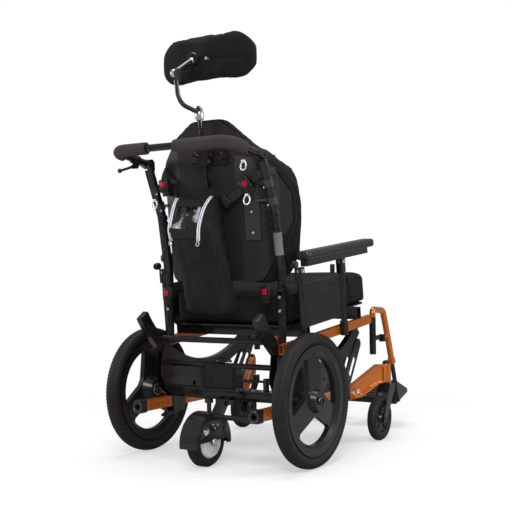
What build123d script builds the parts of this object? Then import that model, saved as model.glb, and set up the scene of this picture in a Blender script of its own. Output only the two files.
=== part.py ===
from build123d import *
import os
from math import asin, atan2, cos, degrees, hypot, radians, sin, tan

# A wheelchair whose whole seat tilts back on curved rockers. Its front faces -y, its left side
# is +x and the floor is z = 0. Sizes are in millimetres. Distances named "ahead" or "behind"
# are measured along y from the rear axle, and axle_y sets the axle so that the origin is the
# floor point under the middle of the chair.
os.makedirs("parts", exist_ok=True)
SIDES = (("right", -1), ("left", 1))

# ---------------------------------------------------------------- clearances
touch_gap = 0.3
shaft_gap = 0.3
plate_gap = 0.8

# ---------------------------------------------------------------- rear wheels
wheel_radius = 203.0
wheel_track = 311.0
tyre_width = 46.0
tyre_tread = 18.0
rim_radius = 166.0
window_outer = 133.0
window_root = 50.0
window_corner = 12.0
spoke_count = 3
spoke_half_width = 33.0
rim_width = 36.0
web_thickness = 16.0
hub_radius = 31.0
hub_width = 58.0
axle_radius = 7.0

# ---------------------------------------------------------------- casters
caster_radius = 75.5
caster_width = 30.0
caster_tread = 10.0
caster_spoke_slots = 5
caster_track = 282.0
caster_stem_ahead = 575.0
caster_trail = 59.0
caster_rim_radius = 54.0
caster_hub_radius = 15.0
caster_axle_radius = 5.0
fork_thickness = 6.0
fork_side_gap = 2.5
fork_foot_radius = 13.0
fork_head_radius = 19.0
crown_height = 32.0
crown_rear = 24.0
crown_front = 18.0
crown_gap = 4.0
stem_radius = 8.0
stem_washer_radius = 13.0
housing_radius = 16.0
housing_low = 195.0
housing_high = 256.0
housing_cap = 5.0
arm_thickness = 24.0
arm_rim = 6.0
arm_pocket = 5.0
arm_clamp_wall = 4.0

# ---------------------------------------------------------------- rockers and their carriage
rocker_centre_ahead = 188.0
rocker_centre_z = 673.0
rocker_outer = 420.0
rocker_inner = 380.0
rocker_width = 20.0
rocker_x = 218.0
rocker_rear_angle = 57.0
rocker_front_angle = -44.0
roller_radius = 15.0
rear_roller_angle = -4.5
front_roller_angle = -39.0
roller_pin_radius = 5.0
pedal_pin_radius = 5.0
pin_stand = 2.0
plate_thickness = 3.0
plate_arc_radius = 396.0

# ---------------------------------------------------------------- base frame
rail_z = 170.0
rail_height = 34.0
rail_width = rocker_width + 2 * plate_gap
rail_wall = 2.5
rail_behind = 150.0
rail_ahead = 425.0
rail_hole_radius = 3.5
rail_hole_pitch = 28.0
rail_hole_count = 5
cap_wall = 2.6
cap_length = 31.0
cap_sleeve = 4.0
socket_bore = 8.1
beam_height = 34.0
beam_depth = 34.0
crossbar_z = 293.0
crossbar_radius = 9.0
crossbar_collar = 3.0
crossbar_collar_length = 10.0
lock_low_x = -31.0
lock_high_x = 80.0
lock_depth = 22.0
beam_lip = 6.0
release_rod_z = 249.0
release_rod_radius = 4.0
release_eye_x = -157.0
release_eye_radius = 8.0
axle_flange_radius = 14.0
axle_shoulder_radius = 10.5
axle_cap_radius = 11.0
axle_cap_height = 5.0
pedal_head_radius = 9.0
pedal_tip_radius = 4.0
pedal_tip_behind = 44.0

# ---------------------------------------------------------------- seat
seat_angle = 5.9
seat_rear_behind = 60.0
seat_rear_z = 356.0
seat_rail_height = 30.0
seat_rail_width = 16.0
seat_rail_wall = 2.0
seat_rail_inner = 234.0
seat_rail_x = seat_rail_inner + seat_rail_width / 2
boss_path = 385.0
boss_radius = 8.0
boss_angles = (-43.0, 36.0)
seat_rail_length = 590.0
seat_bar_behind = 53.0
seat_bar_z = 377.0
seat_bar_radius = 9.5
pan_height = 54.0
pan_thickness = 5.0
pan_half_width = 222.0
cushion_thickness = 100.0
cushion_half_width = 225.0
cushion_start = 84.0
cushion_end = 640.0
pan_start = 78.0
pan_end = 600.0
channel_places = (150.0, 500.0)
channel_width = 30.0
channel_wall = 3.0
pan_corner = 20.0
cushion_corner = 30.0
cushion_edge = 22.0

# ---------------------------------------------------------------- back
cane_x = 215.0
cane_radius = 12.5
cane_behind = 8.0
back_hinge_z = 535.0
cane_bend = 90.0
hinge_tongue = 15.0
hinge_knuckle = 11.0
hinge_pin = 4.0
joint_radius = 15.0
joint_half = 14.0
joint_pin = 5.0
joint_stand = 18.0
cane_joint_behind = 111.0
cane_joint_z = 937.0
cane_straight_z = 590.0
cane_kink_behind = 40.0
cane_kink_z = 770.0
post_foot_z = 357.0
back_low_z = 552.0
back_angle = 5.9
back_low_behind = 22.0
back_height = 520.0
shell_thickness = 5.0
pad_thickness = 42.0
shell_inset = 20.0
# half of the back's outline from the front: distance from the middle, height from its foot
back_half_outline = (
    (190.0, 0.0),
    (222.0, 88.0),
    (234.0, 148.0),
    (251.0, 193.0),
    (251.0, 278.0),
    (216.0, 363.0),
    (138.0, 456.0),
)
back_top_half_width = 62.0
back_outline_corner = 30.0
back_cut_over = 20.0
shell_bends = ((110.0, 26.0), (180.0, 8.0), (208.0, -48.0), (255.0, -115.0))
shell_bend = 40.0
pad_bend = 16.0
bag_low_z = 463.0
bag_high_z = 832.0
bag_low_sides = (-96.0, 54.0)
bag_high_sides = (-56.0, 116.0)
bag_low_behind = 152.0
bag_high_behind = 178.0
bag_foot_in = 8.0
bag_foot_rise = 40.0
bag_shoulder_drop = 110.0
bag_top_depth = 34.0
bag_edge = 10.0
bracket_plate = 6.0
bracket_low_z = 690.0
bracket_height = 180.0
clamp_heights = (805.0, 858.0)
clamp_arm_radius = 5.0
clamp_reach = 11.0
clamp_wall = 4.0
clamp_depth = 27.0
buckle_depth = 16.0
buckle_low_z = 838.0
buckle_height = 40.0
cable_radius = 2.6
cable_top_z = 918.0
cable_foot_rise = 20.0
clamp_low_z = 925.0
clamp_high_z = 970.0

# ---------------------------------------------------------------- push bar
bar_radius = 11.0
grip_radius = 19.0
bar_rear_behind = 278.0
bar_rear_z = 963.0
bar_bend = 45.0
grip_right_start = -19.0
grip_left_start = 82.0
grip_right_end = 200.0
grip_left_end = 229.0
lever_clamp_behind = 175.0
lever_pivot = (182.0, 925.0)
lever_tip = (193.0, 275.0, 903.0)
lever_pin = 3.5
lever_tongue = 7.4
lever_x = 210.0

# ---------------------------------------------------------------- headrest
rod_low = (91.0, 851.0)
rod_high = (125.0, 1064.0)
rod_radius = 6.5
rod_sleeve_radius = 8.5
rod_sleeve_length = 24.0
collar_low_z = 1056.0
collar_high_z = 1067.0
swing_high_z = 1094.0
swing_radius = 12.0
arm_radius = 7.0
headrest_eye = 12.0
headrest_pin = 4.0
ball_behind = 240.0
ball_z = 1184.0
knob_behind = 142.0
knob_z = 1243.0
headrest_width = 350.0
headrest_height = 148.0
headrest_thickness = 54.0
headrest_centre_z = 1252.0
headrest_rear_behind = 122.0
headrest_sweep = 40.0
headrest_corner = 58.0

# ---------------------------------------------------------------- armrests
armrest_x = 262.0
post_radius = 10.0
post_starts = (105.0, 370.0)
post_top = 236.0
socket_high = 30.0
socket_low = -18.0
arm_pad_start = 118.0
arm_pad_end = 575.0
arm_pad_width = 54.0
arm_pad_x = 264.0
arm_pad_low = 255.0
arm_pad_thickness = 28.0
guard_low = 48.0
guard_high = 184.0
guard_thickness = 4.0
post_low = -14.7
rib_count = 4

# ---------------------------------------------------------------- front rigging
# Everything here stands off the seat rails' front ends.
rail_end_ahead = seat_rail_length * cos(radians(seat_angle)) - seat_rear_behind
rail_end_z = seat_rear_z + seat_rail_length * sin(radians(seat_angle))
receiver_stand = 26.1
receiver_rise = 3.4
receiver_length = 129.0
receiver_ahead = rail_end_ahead + receiver_stand
receiver_high = rail_end_z + receiver_rise
receiver_low = receiver_high - receiver_length
receiver_radius = 11.5
hanger_radius = 11.0
hanger_pin_radius = 8.5
hanger_pin_low = receiver_low + 39.0
hanger_top_z = receiver_high + 28.0
hanger_knee = (receiver_ahead + 87.0, receiver_high + 21.0)
catch_z = receiver_low + 56.0
catch_reach = 52.0
hanger_toe_in = 6.0
leg_lean = 18.6
collar_ahead = receiver_ahead + 166.0
collar_z = 246.0
collar_radius = 14.0
leg_length = 86.0
leg_reach = 150.0
leg_tube_radius = 8.0
flip_hinge_in = 24.0
flip_pin_radius = 4.0
flip_knuckle_radius = 7.5
footplate_thickness = 9.0
footplate_heel = -28.0
footplate_toe = 117.0
footplate_gap = 20.0
heel_lip = 16.0
groove_count = 5
flip_lugs = ((-20.0, -2.0), (32.0, 58.0))
flip_eyes = ((-1.7, 31.7), (58.3, 86.0))
gusset_out = 14.0
leg_inside = 55.0
stub_ahead = receiver_ahead + 78.0
stub_radius = 7.0

# ---------------------------------------------------------------- assist wheel
assist_x = -12.0
assist_behind = 132.0
assist_radius = 76.0
assist_width = 50.0
assist_hub_radius = 50.0
assist_axle_radius = 6.0
fender_radius = 90.0
fender_wall = 4.0
fender_side_gap = 3.0
assist_pivot_behind = 38.0
assist_pivot_z = 184.0
assist_pin_radius = 5.0
assist_arm_width = 32.0
strut_radius = 8.0
strut_behind = 125.0
strut_z = 152.0
strap_angle = 50.0
lug_thickness = 6.0
fender_open = -12.0
knob_behind_axle = 112.0
knob_top_z = 205.0
knob_radius = 13.0
knob_height = 14.0
knob_stem_radius = 7.0
assist_tread = 24.0
hub_chamfer = 14.0
hub_chamfer_depth = 8.0

# ---------------------------------------------------------------- overall reach
rear_reach = bar_rear_behind + grip_radius
front_reach = (
    collar_ahead
    + leg_reach * sin(radians(leg_lean))
    + footplate_toe * cos(radians(leg_lean))
    + footplate_thickness / 2 * sin(radians(leg_lean))
)
axle_y = (front_reach - rear_reach) / 2


def side_view(x):
    """Drawing plane across the chair's length: y is across, z is up, +x faces the reader."""
    return Plane.YZ.offset(x)


def behind(distance):
    """The y of a place that far behind the rear axle; a place ahead of it is negative."""
    return axle_y + distance


def arc_point(radius, angle):
    """The (y, z) at a radius and an angle, from straight down, about the rockers' centre."""
    return (
        behind(-rocker_centre_ahead) + radius * sin(radians(angle)),
        rocker_centre_z - radius * cos(radians(angle)),
    )


def seat_point(along, up):
    """The (y, z) of a place along the seat rail from its rear end and square to it."""
    return (
        behind(seat_rear_behind) - along * cos(radians(seat_angle)) + up * sin(radians(seat_angle)),
        seat_rear_z + along * sin(radians(seat_angle)) + up * cos(radians(seat_angle)),
    )


def seat_plane(x, along, up):
    """A plane square to the seat rail: x is across the chair and its y is up from the seat."""
    return Plane(
        (x, *seat_point(along, up)),
        x_dir=(1, 0, 0),
        z_dir=(0, -cos(radians(seat_angle)), sin(radians(seat_angle))),
    )


def seat_top_plane(x, along, up):
    """A plane that lies along the seat and faces up from it; its y points to the rear."""
    return Plane(
        (x, *seat_point(along, up)),
        x_dir=(1, 0, 0),
        z_dir=(0, sin(radians(seat_angle)), cos(radians(seat_angle))),
    )


def back_point(up, rearward=0.0):
    """The (y, z) of a place up the back from its lower edge, and square to its rear face."""
    return (
        behind(back_low_behind) + up * sin(radians(back_angle)) + rearward * cos(radians(back_angle)),
        back_low_z + up * cos(radians(back_angle)) - rearward * sin(radians(back_angle)),
    )


def back_plane(up):
    """A plane square to the back's height: x is across the chair and its y points to the rear."""
    return Plane(
        (0, *back_point(up)),
        x_dir=(1, 0, 0),
        z_dir=(0, sin(radians(back_angle)), cos(radians(back_angle))),
    )


def turned(centre, direction, outline):
    """Turn an outline of (distance along, radius) points about an axis."""
    along = Vector(*direction).normalized()
    square = along.cross(Vector(0, 0, 1))
    if square.length < 0.01:
        square = Vector(0, -1, 0)
    with BuildSketch(Plane(centre, x_dir=along, z_dir=square)) as section:
        with BuildLine():
            Polyline(*outline, close=True)
        make_face()
    revolve(section.sketch, axis=Axis(centre, along))


def rod_between(start, end, radius, mode=Mode.ADD):
    """A round bar, or with Mode.SUBTRACT a round hole, between two points."""
    run = Vector(*end) - Vector(*start)
    with BuildSketch(Plane(start, z_dir=run)) as section:
        Circle(radius)
    extrude(section.sketch, amount=run.length, mode=mode)


def bent_bar(points, bends, radius, bore=0.0):
    """A round bar, or with a bore a sleeve, along straight runs joined by bends."""
    with BuildLine() as route:
        FilletPolyline(*points, radius=bends)
    with BuildSketch(Plane(route.line @ 0, z_dir=route.line % 0)) as section:
        Circle(radius)
        if bore:
            Circle(bore, mode=Mode.SUBTRACT)
    sweep(section.sketch, path=route.wire())


def slab(plane, outline, thickness, corner=0.0):
    """A flat plate with the outline's corners rounded, on one face of a plane."""
    with BuildSketch(plane) as section:
        with BuildLine():
            Polyline(*outline, close=True)
        make_face()
        if corner:
            fillet(section.vertices(), radius=corner)
    extrude(section.sketch, amount=thickness)


def block(x_span, y_span, z_span, mode=Mode.ADD):
    """A straight-sided block between the two ends of each span."""
    size = [span[1] - span[0] for span in (x_span, y_span, z_span)]
    centre = [(span[1] + span[0]) / 2 for span in (x_span, y_span, z_span)]
    with Locations(tuple(centre)):
        Box(*size, mode=mode)


def span(side, inner, outer):
    """A span along x on one side of the chair, low end first."""
    return tuple(sorted((side * inner, side * outer)))


# ================================================================ rear wheels
def tyre(centre, radius, bead, width, tread):
    """A tyre: flat tread, sloped shoulders and side walls that narrow to the bead."""
    half = width / 2
    shoulder = radius - 0.2 * (radius - bead)
    turned(
        centre,
        (1, 0, 0),
        [
            (-half * 0.72, bead),
            (-half, bead + 0.45 * (radius - bead)),
            (-half * 0.78, shoulder),
            (-tread / 2, radius),
            (tread / 2, radius),
            (half * 0.78, shoulder),
            (half, bead + 0.45 * (radius - bead)),
            (half * 0.72, bead),
        ],
    )


wheel_z = wheel_radius
wheel_centre_y = behind(0)

# Each window is the room between two straight spoke edges and the rim.
window_edge = radians(180 / spoke_count)
window_tip_angle = window_edge - asin(spoke_half_width / window_outer)
window_tip = (window_outer * cos(window_tip_angle), window_outer * sin(window_tip_angle))
with BuildSketch() as window:
    with BuildLine():
        Line((window_tip[0], -window_tip[1]), (window_root, -window_corner))
        Line((window_root, -window_corner), (window_root, window_corner))
        Line((window_root, window_corner), window_tip)
        RadiusArc(window_tip, (window_tip[0], -window_tip[1]), window_outer)
    make_face()
    fillet(window.vertices(), radius=window_corner - 2)

for name, side in SIDES:
    centre = (side * wheel_track, wheel_centre_y, wheel_z)

    with BuildPart() as rear_tyre:
        tyre(centre, wheel_radius, rim_radius + touch_gap, tyre_width, tyre_tread)
    rear_tyre.part.label = f"rear_tyre_{name}"
    export_step(rear_tyre.part, f"parts/rear_tyre_{name}.step")

    # The moulded wheel: a rim, a dished web cut into broad spokes, and a long hub whose outer
    # end carries a round cap with the axle's end in it.
    with BuildPart() as rear_wheel:
        turned(
            centre,
            (side, 0, 0),
            [
                (-rim_width / 2, rim_radius),
                (-rim_width / 2, window_outer + 12),
                (-web_thickness / 2, window_outer),
                (-web_thickness / 2 + 4, hub_radius + 14),
                (-hub_width / 2, hub_radius - 3),
                (-hub_width / 2, axle_radius + shaft_gap),
                (hub_width / 2, axle_radius + shaft_gap),
                (hub_width / 2, hub_radius),
                (web_thickness / 2 + 6, hub_radius + 6),
                (web_thickness / 2, window_outer),
                (rim_width / 2, window_outer + 12),
                (rim_width / 2, rim_radius),
            ],
        )
        window_plane = Plane(
            (side * (wheel_track - rim_width), wheel_centre_y, wheel_z),
            x_dir=(0, 0, 1),
            z_dir=(side, 0, 0),
        )
        with BuildSketch(window_plane):
            with PolarLocations(0, spoke_count, start_angle=180 / spoke_count):
                add(window.sketch)
        extrude(amount=2 * rim_width, mode=Mode.SUBTRACT)
    rear_wheel.part.label = f"rear_wheel_{name}"
    export_step(rear_wheel.part, f"parts/rear_wheel_{name}.step")

# ================================================================ casters
caster_y = behind(caster_trail - caster_stem_ahead)
stem_y = behind(-caster_stem_ahead)
crown_high = housing_low - crown_gap
crown_low = crown_high - crown_height
fork_inner = caster_width / 2 + fork_side_gap
fork_outer = fork_inner + fork_thickness

for name, side in SIDES:
    centre = (side * caster_track, caster_y, caster_radius)

    with BuildPart() as caster_tyre:
        tyre(centre, caster_radius, caster_rim_radius + touch_gap, caster_width, caster_tread)
    caster_tyre.part.label = f"caster_tyre_{name}"
    export_step(caster_tyre.part, f"parts/caster_tyre_{name}.step")

    half = caster_width / 2
    with BuildPart() as caster_wheel:
        turned(
            centre,
            (1, 0, 0),
            [
                (-half + 3, caster_rim_radius),
                (-half + 3, caster_rim_radius - 5),
                (-5, caster_rim_radius - 9),
                (-5, caster_hub_radius + 4),
                (-half, caster_hub_radius),
                (-half, caster_axle_radius + shaft_gap),
                (half, caster_axle_radius + shaft_gap),
                (half, caster_hub_radius),
                (5, caster_hub_radius + 4),
                (5, caster_rim_radius - 9),
                (half - 3, caster_rim_radius - 5),
                (half - 3, caster_rim_radius),
            ],
        )
        slot_plane = Plane(
            (side * caster_track - caster_width, caster_y, caster_radius),
            x_dir=(0, 0, 1),
            z_dir=(1, 0, 0),
        )
        with BuildSketch(slot_plane) as slots:
            slot_ring = (caster_hub_radius + caster_rim_radius) / 2 - 1
            with PolarLocations(slot_ring, caster_spoke_slots):
                SlotOverall(20, 11)
        extrude(amount=2 * caster_width, mode=Mode.SUBTRACT)
    caster_wheel.part.label = f"caster_wheel_{name}"
    export_step(caster_wheel.part, f"parts/caster_wheel_{name}.step")

    # The fork: two tapered legs under a crown, a washer and a stem, and the wheel's axle.
    with BuildPart() as caster_fork:
        for leg in (-1, 1):
            leg_x = side * caster_track + min(leg * fork_inner, leg * fork_outer)
            with BuildSketch(side_view(leg_x)) as leg_shape:
                with Locations((caster_y, caster_radius)):
                    Circle(fork_foot_radius)
                with Locations((stem_y + 5, crown_low + 12)):
                    Circle(fork_head_radius)
                make_hull()
            extrude(amount=fork_thickness)
        x_centre = side * caster_track
        block(
            (x_centre - fork_outer, x_centre + fork_outer),
            (stem_y - crown_front, stem_y + crown_rear),
            (crown_low, crown_high),
        )
        turned(
            (x_centre, stem_y, crown_high - 1),
            (0, 0, 1),
            [
                (0, 0),
                (0, stem_washer_radius),
                (housing_low - touch_gap - crown_high + 1, stem_washer_radius),
                (housing_low - touch_gap - crown_high + 1, stem_radius),
                (housing_high - 9 - crown_high, stem_radius),
                (housing_high - 9 - crown_high, 0),
            ],
        )
        rod_between(
            (x_centre - fork_outer - 3, caster_y, caster_radius),
            (x_centre + fork_outer + 3, caster_y, caster_radius),
            caster_axle_radius,
        )
    caster_fork.part.label = f"caster_fork_{name}"
    export_step(caster_fork.part, f"parts/caster_fork_{name}.step")

# ================================================================ base frame
rail_rear_y = behind(rail_behind)
rail_front_y = behind(-rail_ahead)
rail_low = rail_z - rail_height / 2
rail_high = rail_z + rail_height / 2
inner_plate_x = rocker_x - rail_width / 2 - plate_thickness
outer_plate_x = rocker_x + rail_width / 2

with BuildPart() as base_rails:
    for name, side in SIDES:
        with BuildSketch(Plane.XZ.offset(-rail_rear_y)) as section:
            with Locations((side * rocker_x, rail_z)):
                Rectangle(rail_width, rail_height)
                Rectangle(
                    rail_width - 2 * rail_wall, rail_height - 2 * rail_wall, mode=Mode.SUBTRACT
                )
        extrude(amount=rail_rear_y - rail_front_y)
        with BuildSketch(side_view(side * rocker_x - rail_width)) as holes:
            first_hole = behind(rail_behind - cap_length + cap_sleeve - 4)
            for step in range(rail_hole_count):
                with Locations((first_hole - step * rail_hole_pitch, rail_z)):
                    Circle(rail_hole_radius)
        extrude(amount=2 * rail_width, mode=Mode.SUBTRACT)
base_rails.part.label = "base_rails"
export_step(base_rails.part, "parts/base_rails.step")

cap_rear_y = rail_rear_y + cap_length - cap_sleeve
with BuildPart() as rail_end_caps:
    for name, side in SIDES:
        x_span = span(side, rocker_x - rail_width / 2 - cap_wall, rocker_x + rail_width / 2 + cap_wall)
        block(
            x_span,
            (rail_rear_y - cap_sleeve, cap_rear_y),
            (rail_low - cap_wall, rail_high + cap_wall),
        )
        block(
            span(side, rocker_x - rail_width / 2, rocker_x + rail_width / 2),
            (rail_rear_y - 2 * cap_sleeve, rail_rear_y),
            (rail_low, rail_high),
            mode=Mode.SUBTRACT,
        )
        socket_start = (side * rocker_x, rail_rear_y - cap_sleeve, rail_z)
        socket_end = (side * rocker_x, cap_rear_y + cap_sleeve, rail_z)
        rod_between(socket_start, socket_end, socket_bore, mode=Mode.SUBTRACT)
rail_end_caps.part.label = "rail_end_caps"
export_step(rail_end_caps.part, "parts/rail_end_caps.step")

# The cast arms run outward and up from the rails to the stem housings. Their faces are
# pocketed, so that a raised rim runs round each one.
arm_length = hypot(caster_track - rocker_x, caster_stem_ahead - rail_ahead)
with BuildPart() as caster_arms:
    for name, side in SIDES:
        run = Vector(side * (caster_track - rocker_x), rail_ahead - caster_stem_ahead, 0)
        arm_plane = Plane(
            (side * rocker_x, rail_front_y, 0), x_dir=run, z_dir=run.cross(Vector(0, 0, 1))
        )
        with BuildSketch(arm_plane) as arm_shape:
            with BuildLine():
                FilletPolyline(
                    (-6, rail_low - 4),
                    (-6, rail_high + 3),
                    (arm_length - 44, housing_high + 2),
                    (arm_length, housing_high),
                    (arm_length, housing_low),
                    (arm_length - 34, housing_low),
                    (arm_length - 72, housing_low - 18),
                    (40, rail_low),
                    radius=8,
                    close=True,
                )
            make_face()
        extrude(amount=arm_thickness / 2, both=True)
        for face_side in (-1, 1):
            pocket_plane = arm_plane.offset(face_side * (arm_thickness / 2 - arm_pocket))
            with BuildSketch(pocket_plane) as pocket:
                with BuildLine():
                    FilletPolyline(
                        (10, rail_low + 8),
                        (10, rail_high - 2),
                        (arm_length - 46, housing_high - arm_rim),
                        (arm_length - 22, housing_high - arm_rim),
                        (arm_length - 22, housing_low + arm_rim),
                        (arm_length - 44, housing_low + 2),
                        (arm_length - 78, housing_low - 10),
                        (44, rail_low + 10),
                        radius=5,
                        close=True,
                    )
                make_face()
            extrude(amount=face_side * 2 * arm_pocket, mode=Mode.SUBTRACT)
        housing_centre = (side * caster_track, stem_y, housing_low)
        turned(
            housing_centre,
            (0, 0, 1),
            [
                (0, 0),
                (0, housing_radius),
                (housing_high - housing_low, housing_radius),
                (housing_high - housing_low + housing_cap, housing_radius - 6),
                (housing_high - housing_low + housing_cap, 0),
            ],
        )
        block(
            span(
                side,
                rocker_x - rail_width / 2 - arm_clamp_wall,
                rocker_x + rail_width / 2 + arm_clamp_wall,
            ),
            (rail_front_y - 7, rail_front_y + 28),
            (rail_low - arm_clamp_wall, rail_high + arm_clamp_wall),
        )
        block(
            span(side, rocker_x - rail_width / 2, rocker_x + rail_width / 2),
            (rail_front_y, rail_front_y + 40),
            (rail_low, rail_high),
            mode=Mode.SUBTRACT,
        )
        rod_between(
            (side * caster_track, stem_y, housing_low - 1),
            (side * caster_track, stem_y, housing_high - 7),
            stem_radius + shaft_gap,
            mode=Mode.SUBTRACT,
        )
caster_arms.part.label = "caster_arms"
export_step(caster_arms.part, "parts/caster_arms.step")

# Each rocker runs between two pairs of plates, through which loose pins pass. The rear pair
# clamps the rail and carries the axle, a roller and the pedal's pin; the front pair carries the
# front roller.
roller_path = rocker_outer + roller_radius + touch_gap
rear_roller = arc_point(roller_path, rear_roller_angle)
front_roller = arc_point(roller_path, front_roller_angle)
pedal_pin = (behind(-20), rail_low - 11)
foot_rear_y = behind(-330)
foot_front_y = behind(-394)


def plate_pair(side, shape):
    """Both plates of a pair, cut from the same sketch, on the rocker's two sides."""
    for plate_x in (inner_plate_x, outer_plate_x):
        low = min(side * plate_x, side * (plate_x + plate_thickness))
        extrude(shape.moved(Location((low, 0, 0))), amount=plate_thickness)


with BuildSketch(Plane.YZ) as rear_plate_shape:
    with BuildLine():
        Polyline(
            arc_point(plate_arc_radius, 38),
            (behind(72), 262),
            (behind(48), 214),
            (behind(16), rail_high + 4),
            (behind(10), rail_low - 20),
            (behind(-50), rail_low - 20),
            (behind(-60), rail_high + 4),
            (behind(-210), 200),
            (behind(-258), 236),
            arc_point(plate_arc_radius, -9),
        )
        ThreePointArc(
            arc_point(plate_arc_radius, -9),
            arc_point(plate_arc_radius, 15),
            arc_point(plate_arc_radius, 38),
        )
    make_face()
    with Locations((behind(-104), 216)):
        Circle(9, mode=Mode.SUBTRACT)

with BuildSketch(Plane.YZ) as front_plate_shape:
    with Locations(front_roller):
        Circle(18)
    with Locations(((foot_rear_y + foot_front_y) / 2, rail_high + 8)):
        Rectangle(foot_rear_y - foot_front_y, 4)
    make_hull()
    with Locations(((foot_rear_y + foot_front_y) / 2, rail_z + 4)):
        Rectangle(foot_rear_y - foot_front_y, rail_height + 8)
    slot_middle = (
        (front_roller[0] + foot_front_y + 26) / 2,
        (front_roller[1] + rail_high) / 2,
    )
    slot_turn = degrees(atan2(front_roller[1] - rail_high, front_roller[0] - foot_front_y - 26))
    with Locations(Location((*slot_middle, 0), (0, 0, slot_turn))):
        SlotOverall(70, 18, mode=Mode.SUBTRACT)

with BuildPart() as side_plates:
    for name, side in SIDES:
        plate_pair(side, rear_plate_shape.sketch)
        plate_pair(side, front_plate_shape.sketch)
        for place, radius in (
            (rear_roller, roller_pin_radius),
            (front_roller, roller_pin_radius),
            (pedal_pin, pedal_pin_radius),
        ):
            pin_start = (side * (inner_plate_x - pin_stand), *place)
            pin_end = (side * (outer_plate_x + plate_thickness + pin_stand), *place)
            rod_between(pin_start, pin_end, radius + touch_gap, mode=Mode.SUBTRACT)
            rod_between(pin_start, pin_end, radius)
side_plates.part.label = "side_plates"
export_step(side_plates.part, "parts/side_plates.step")

beam_half = inner_plate_x
beam_low = wheel_z - beam_height / 2
beam_high = wheel_z + beam_height / 2
pin_half = assist_arm_width / 2 + touch_gap
with BuildPart() as axle_crossmember:
    half_depth = beam_depth / 2
    slab(
        side_view(-beam_half),
        [
            (behind(-half_depth - beam_lip), beam_high),
            (behind(-half_depth - beam_lip), beam_high - 5),
            (behind(-half_depth), beam_high - 8),
            (behind(-half_depth), beam_low + 11),
            (behind(-half_depth + 7), beam_low),
            (behind(half_depth - 7), beam_low),
            (behind(half_depth), beam_low + 11),
            (behind(half_depth), beam_high - 8),
            (behind(half_depth + beam_lip), beam_high - 5),
            (behind(half_depth + beam_lip), beam_high),
        ],
        2 * beam_half,
    )
    # ears for the assist wheel's arm, with their pin, and the release rod's guide
    for ear in (-1, 1):
        ear_x = assist_x + min(ear * pin_half, ear * (pin_half + lug_thickness))
        slab(
            side_view(ear_x),
            [
                (behind(half_depth - 8), beam_low + 1),
                (behind(half_depth - 8), beam_low + 16),
                (behind(assist_pivot_behind + 9), assist_pivot_z + 10),
                (behind(assist_pivot_behind + 9), assist_pivot_z - 10),
                (behind(assist_pivot_behind - 9), assist_pivot_z - 10),
            ],
            lug_thickness,
        )
    pin_reach = pin_half + lug_thickness + 3
    rod_between(
        (assist_x - pin_reach, behind(assist_pivot_behind), assist_pivot_z),
        (assist_x + pin_reach, behind(assist_pivot_behind), assist_pivot_z),
        assist_pin_radius,
    )
    block(
        (release_eye_x + 2, release_eye_x + 14),
        (behind(-8), behind(8)),
        (beam_high - 1, release_rod_z + 10),
    )
    rod_between(
        (release_eye_x, behind(0), release_rod_z),
        (release_eye_x + 20, behind(0), release_rod_z),
        release_rod_radius + shaft_gap,
        mode=Mode.SUBTRACT,
    )
axle_crossmember.part.label = "axle_crossmember"
export_step(axle_crossmember.part, "parts/axle_crossmember.step")

with BuildPart() as tilt_crossbar:
    rod_between(
        (-beam_half, behind(0), crossbar_z), (beam_half, behind(0), crossbar_z), crossbar_radius
    )
    for collar_x in (lock_high_x + 4, -beam_half, beam_half - crossbar_collar_length):
        rod_between(
            (collar_x, behind(0), crossbar_z),
            (collar_x + crossbar_collar_length, behind(0), crossbar_z),
            crossbar_radius + crossbar_collar,
        )
tilt_crossbar.part.label = "tilt_crossbar"
export_step(tilt_crossbar.part, "parts/tilt_crossbar.step")

# The lock housing stands on the crossmember and wraps the crossbar.
with BuildPart() as lock_housing:
    block(
        (lock_low_x, lock_high_x),
        (behind(-lock_depth / 2), behind(lock_depth / 2)),
        (beam_high, crossbar_z),
    )
    fillet(lock_housing.edges().filter_by(Axis.Z), radius=3)
    rod_between(
        (lock_low_x, behind(0), crossbar_z),
        (lock_high_x, behind(0), crossbar_z),
        crossbar_radius + touch_gap,
        mode=Mode.SUBTRACT,
    )
    rod_between(
        (lock_low_x - 1, behind(0), release_rod_z),
        (lock_low_x + 34, behind(0), release_rod_z),
        release_rod_radius + shaft_gap,
        mode=Mode.SUBTRACT,
    )
    rod_between(
        (lock_high_x - 28, behind(-lock_depth), release_rod_z + 3),
        (lock_high_x - 28, behind(lock_depth), release_rod_z + 3),
        rail_hole_radius,
        mode=Mode.SUBTRACT,
    )
lock_housing.part.label = "lock_housing"
export_step(lock_housing.part, "parts/lock_housing.step")

with BuildPart() as release_rod:
    rod_between(
        (release_eye_x - 6, behind(0), release_rod_z),
        (lock_low_x + 20, behind(0), release_rod_z),
        release_rod_radius,
    )
    rod_between(
        (release_eye_x - 8, behind(-5), release_rod_z),
        (release_eye_x - 8, behind(5), release_rod_z),
        release_eye_radius,
    )
release_rod.part.label = "release_rod"
export_step(release_rod.part, "parts/release_rod.step")

axle_root = outer_plate_x + plate_thickness
hub_face = wheel_track + hub_width / 2
with BuildPart() as axle_bolts:
    for name, side in SIDES:
        turned(
            (0, behind(0), wheel_z),
            (side, 0, 0),
            [
                (axle_root, 0),
                (axle_root, axle_flange_radius),
                (axle_root + 5, axle_flange_radius),
                (axle_root + 5, axle_shoulder_radius),
                (wheel_track - hub_width / 2 - touch_gap, axle_shoulder_radius),
                (wheel_track - hub_width / 2 - touch_gap, axle_radius),
                (hub_face + touch_gap, axle_radius),
                (hub_face + touch_gap, axle_cap_radius),
                (hub_face + axle_cap_height, axle_cap_radius - 2),
                (hub_face + axle_cap_height, 0),
            ],
        )
axle_bolts.part.label = "axle_bolts"
export_step(axle_bolts.part, "parts/axle_bolts.step")

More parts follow.
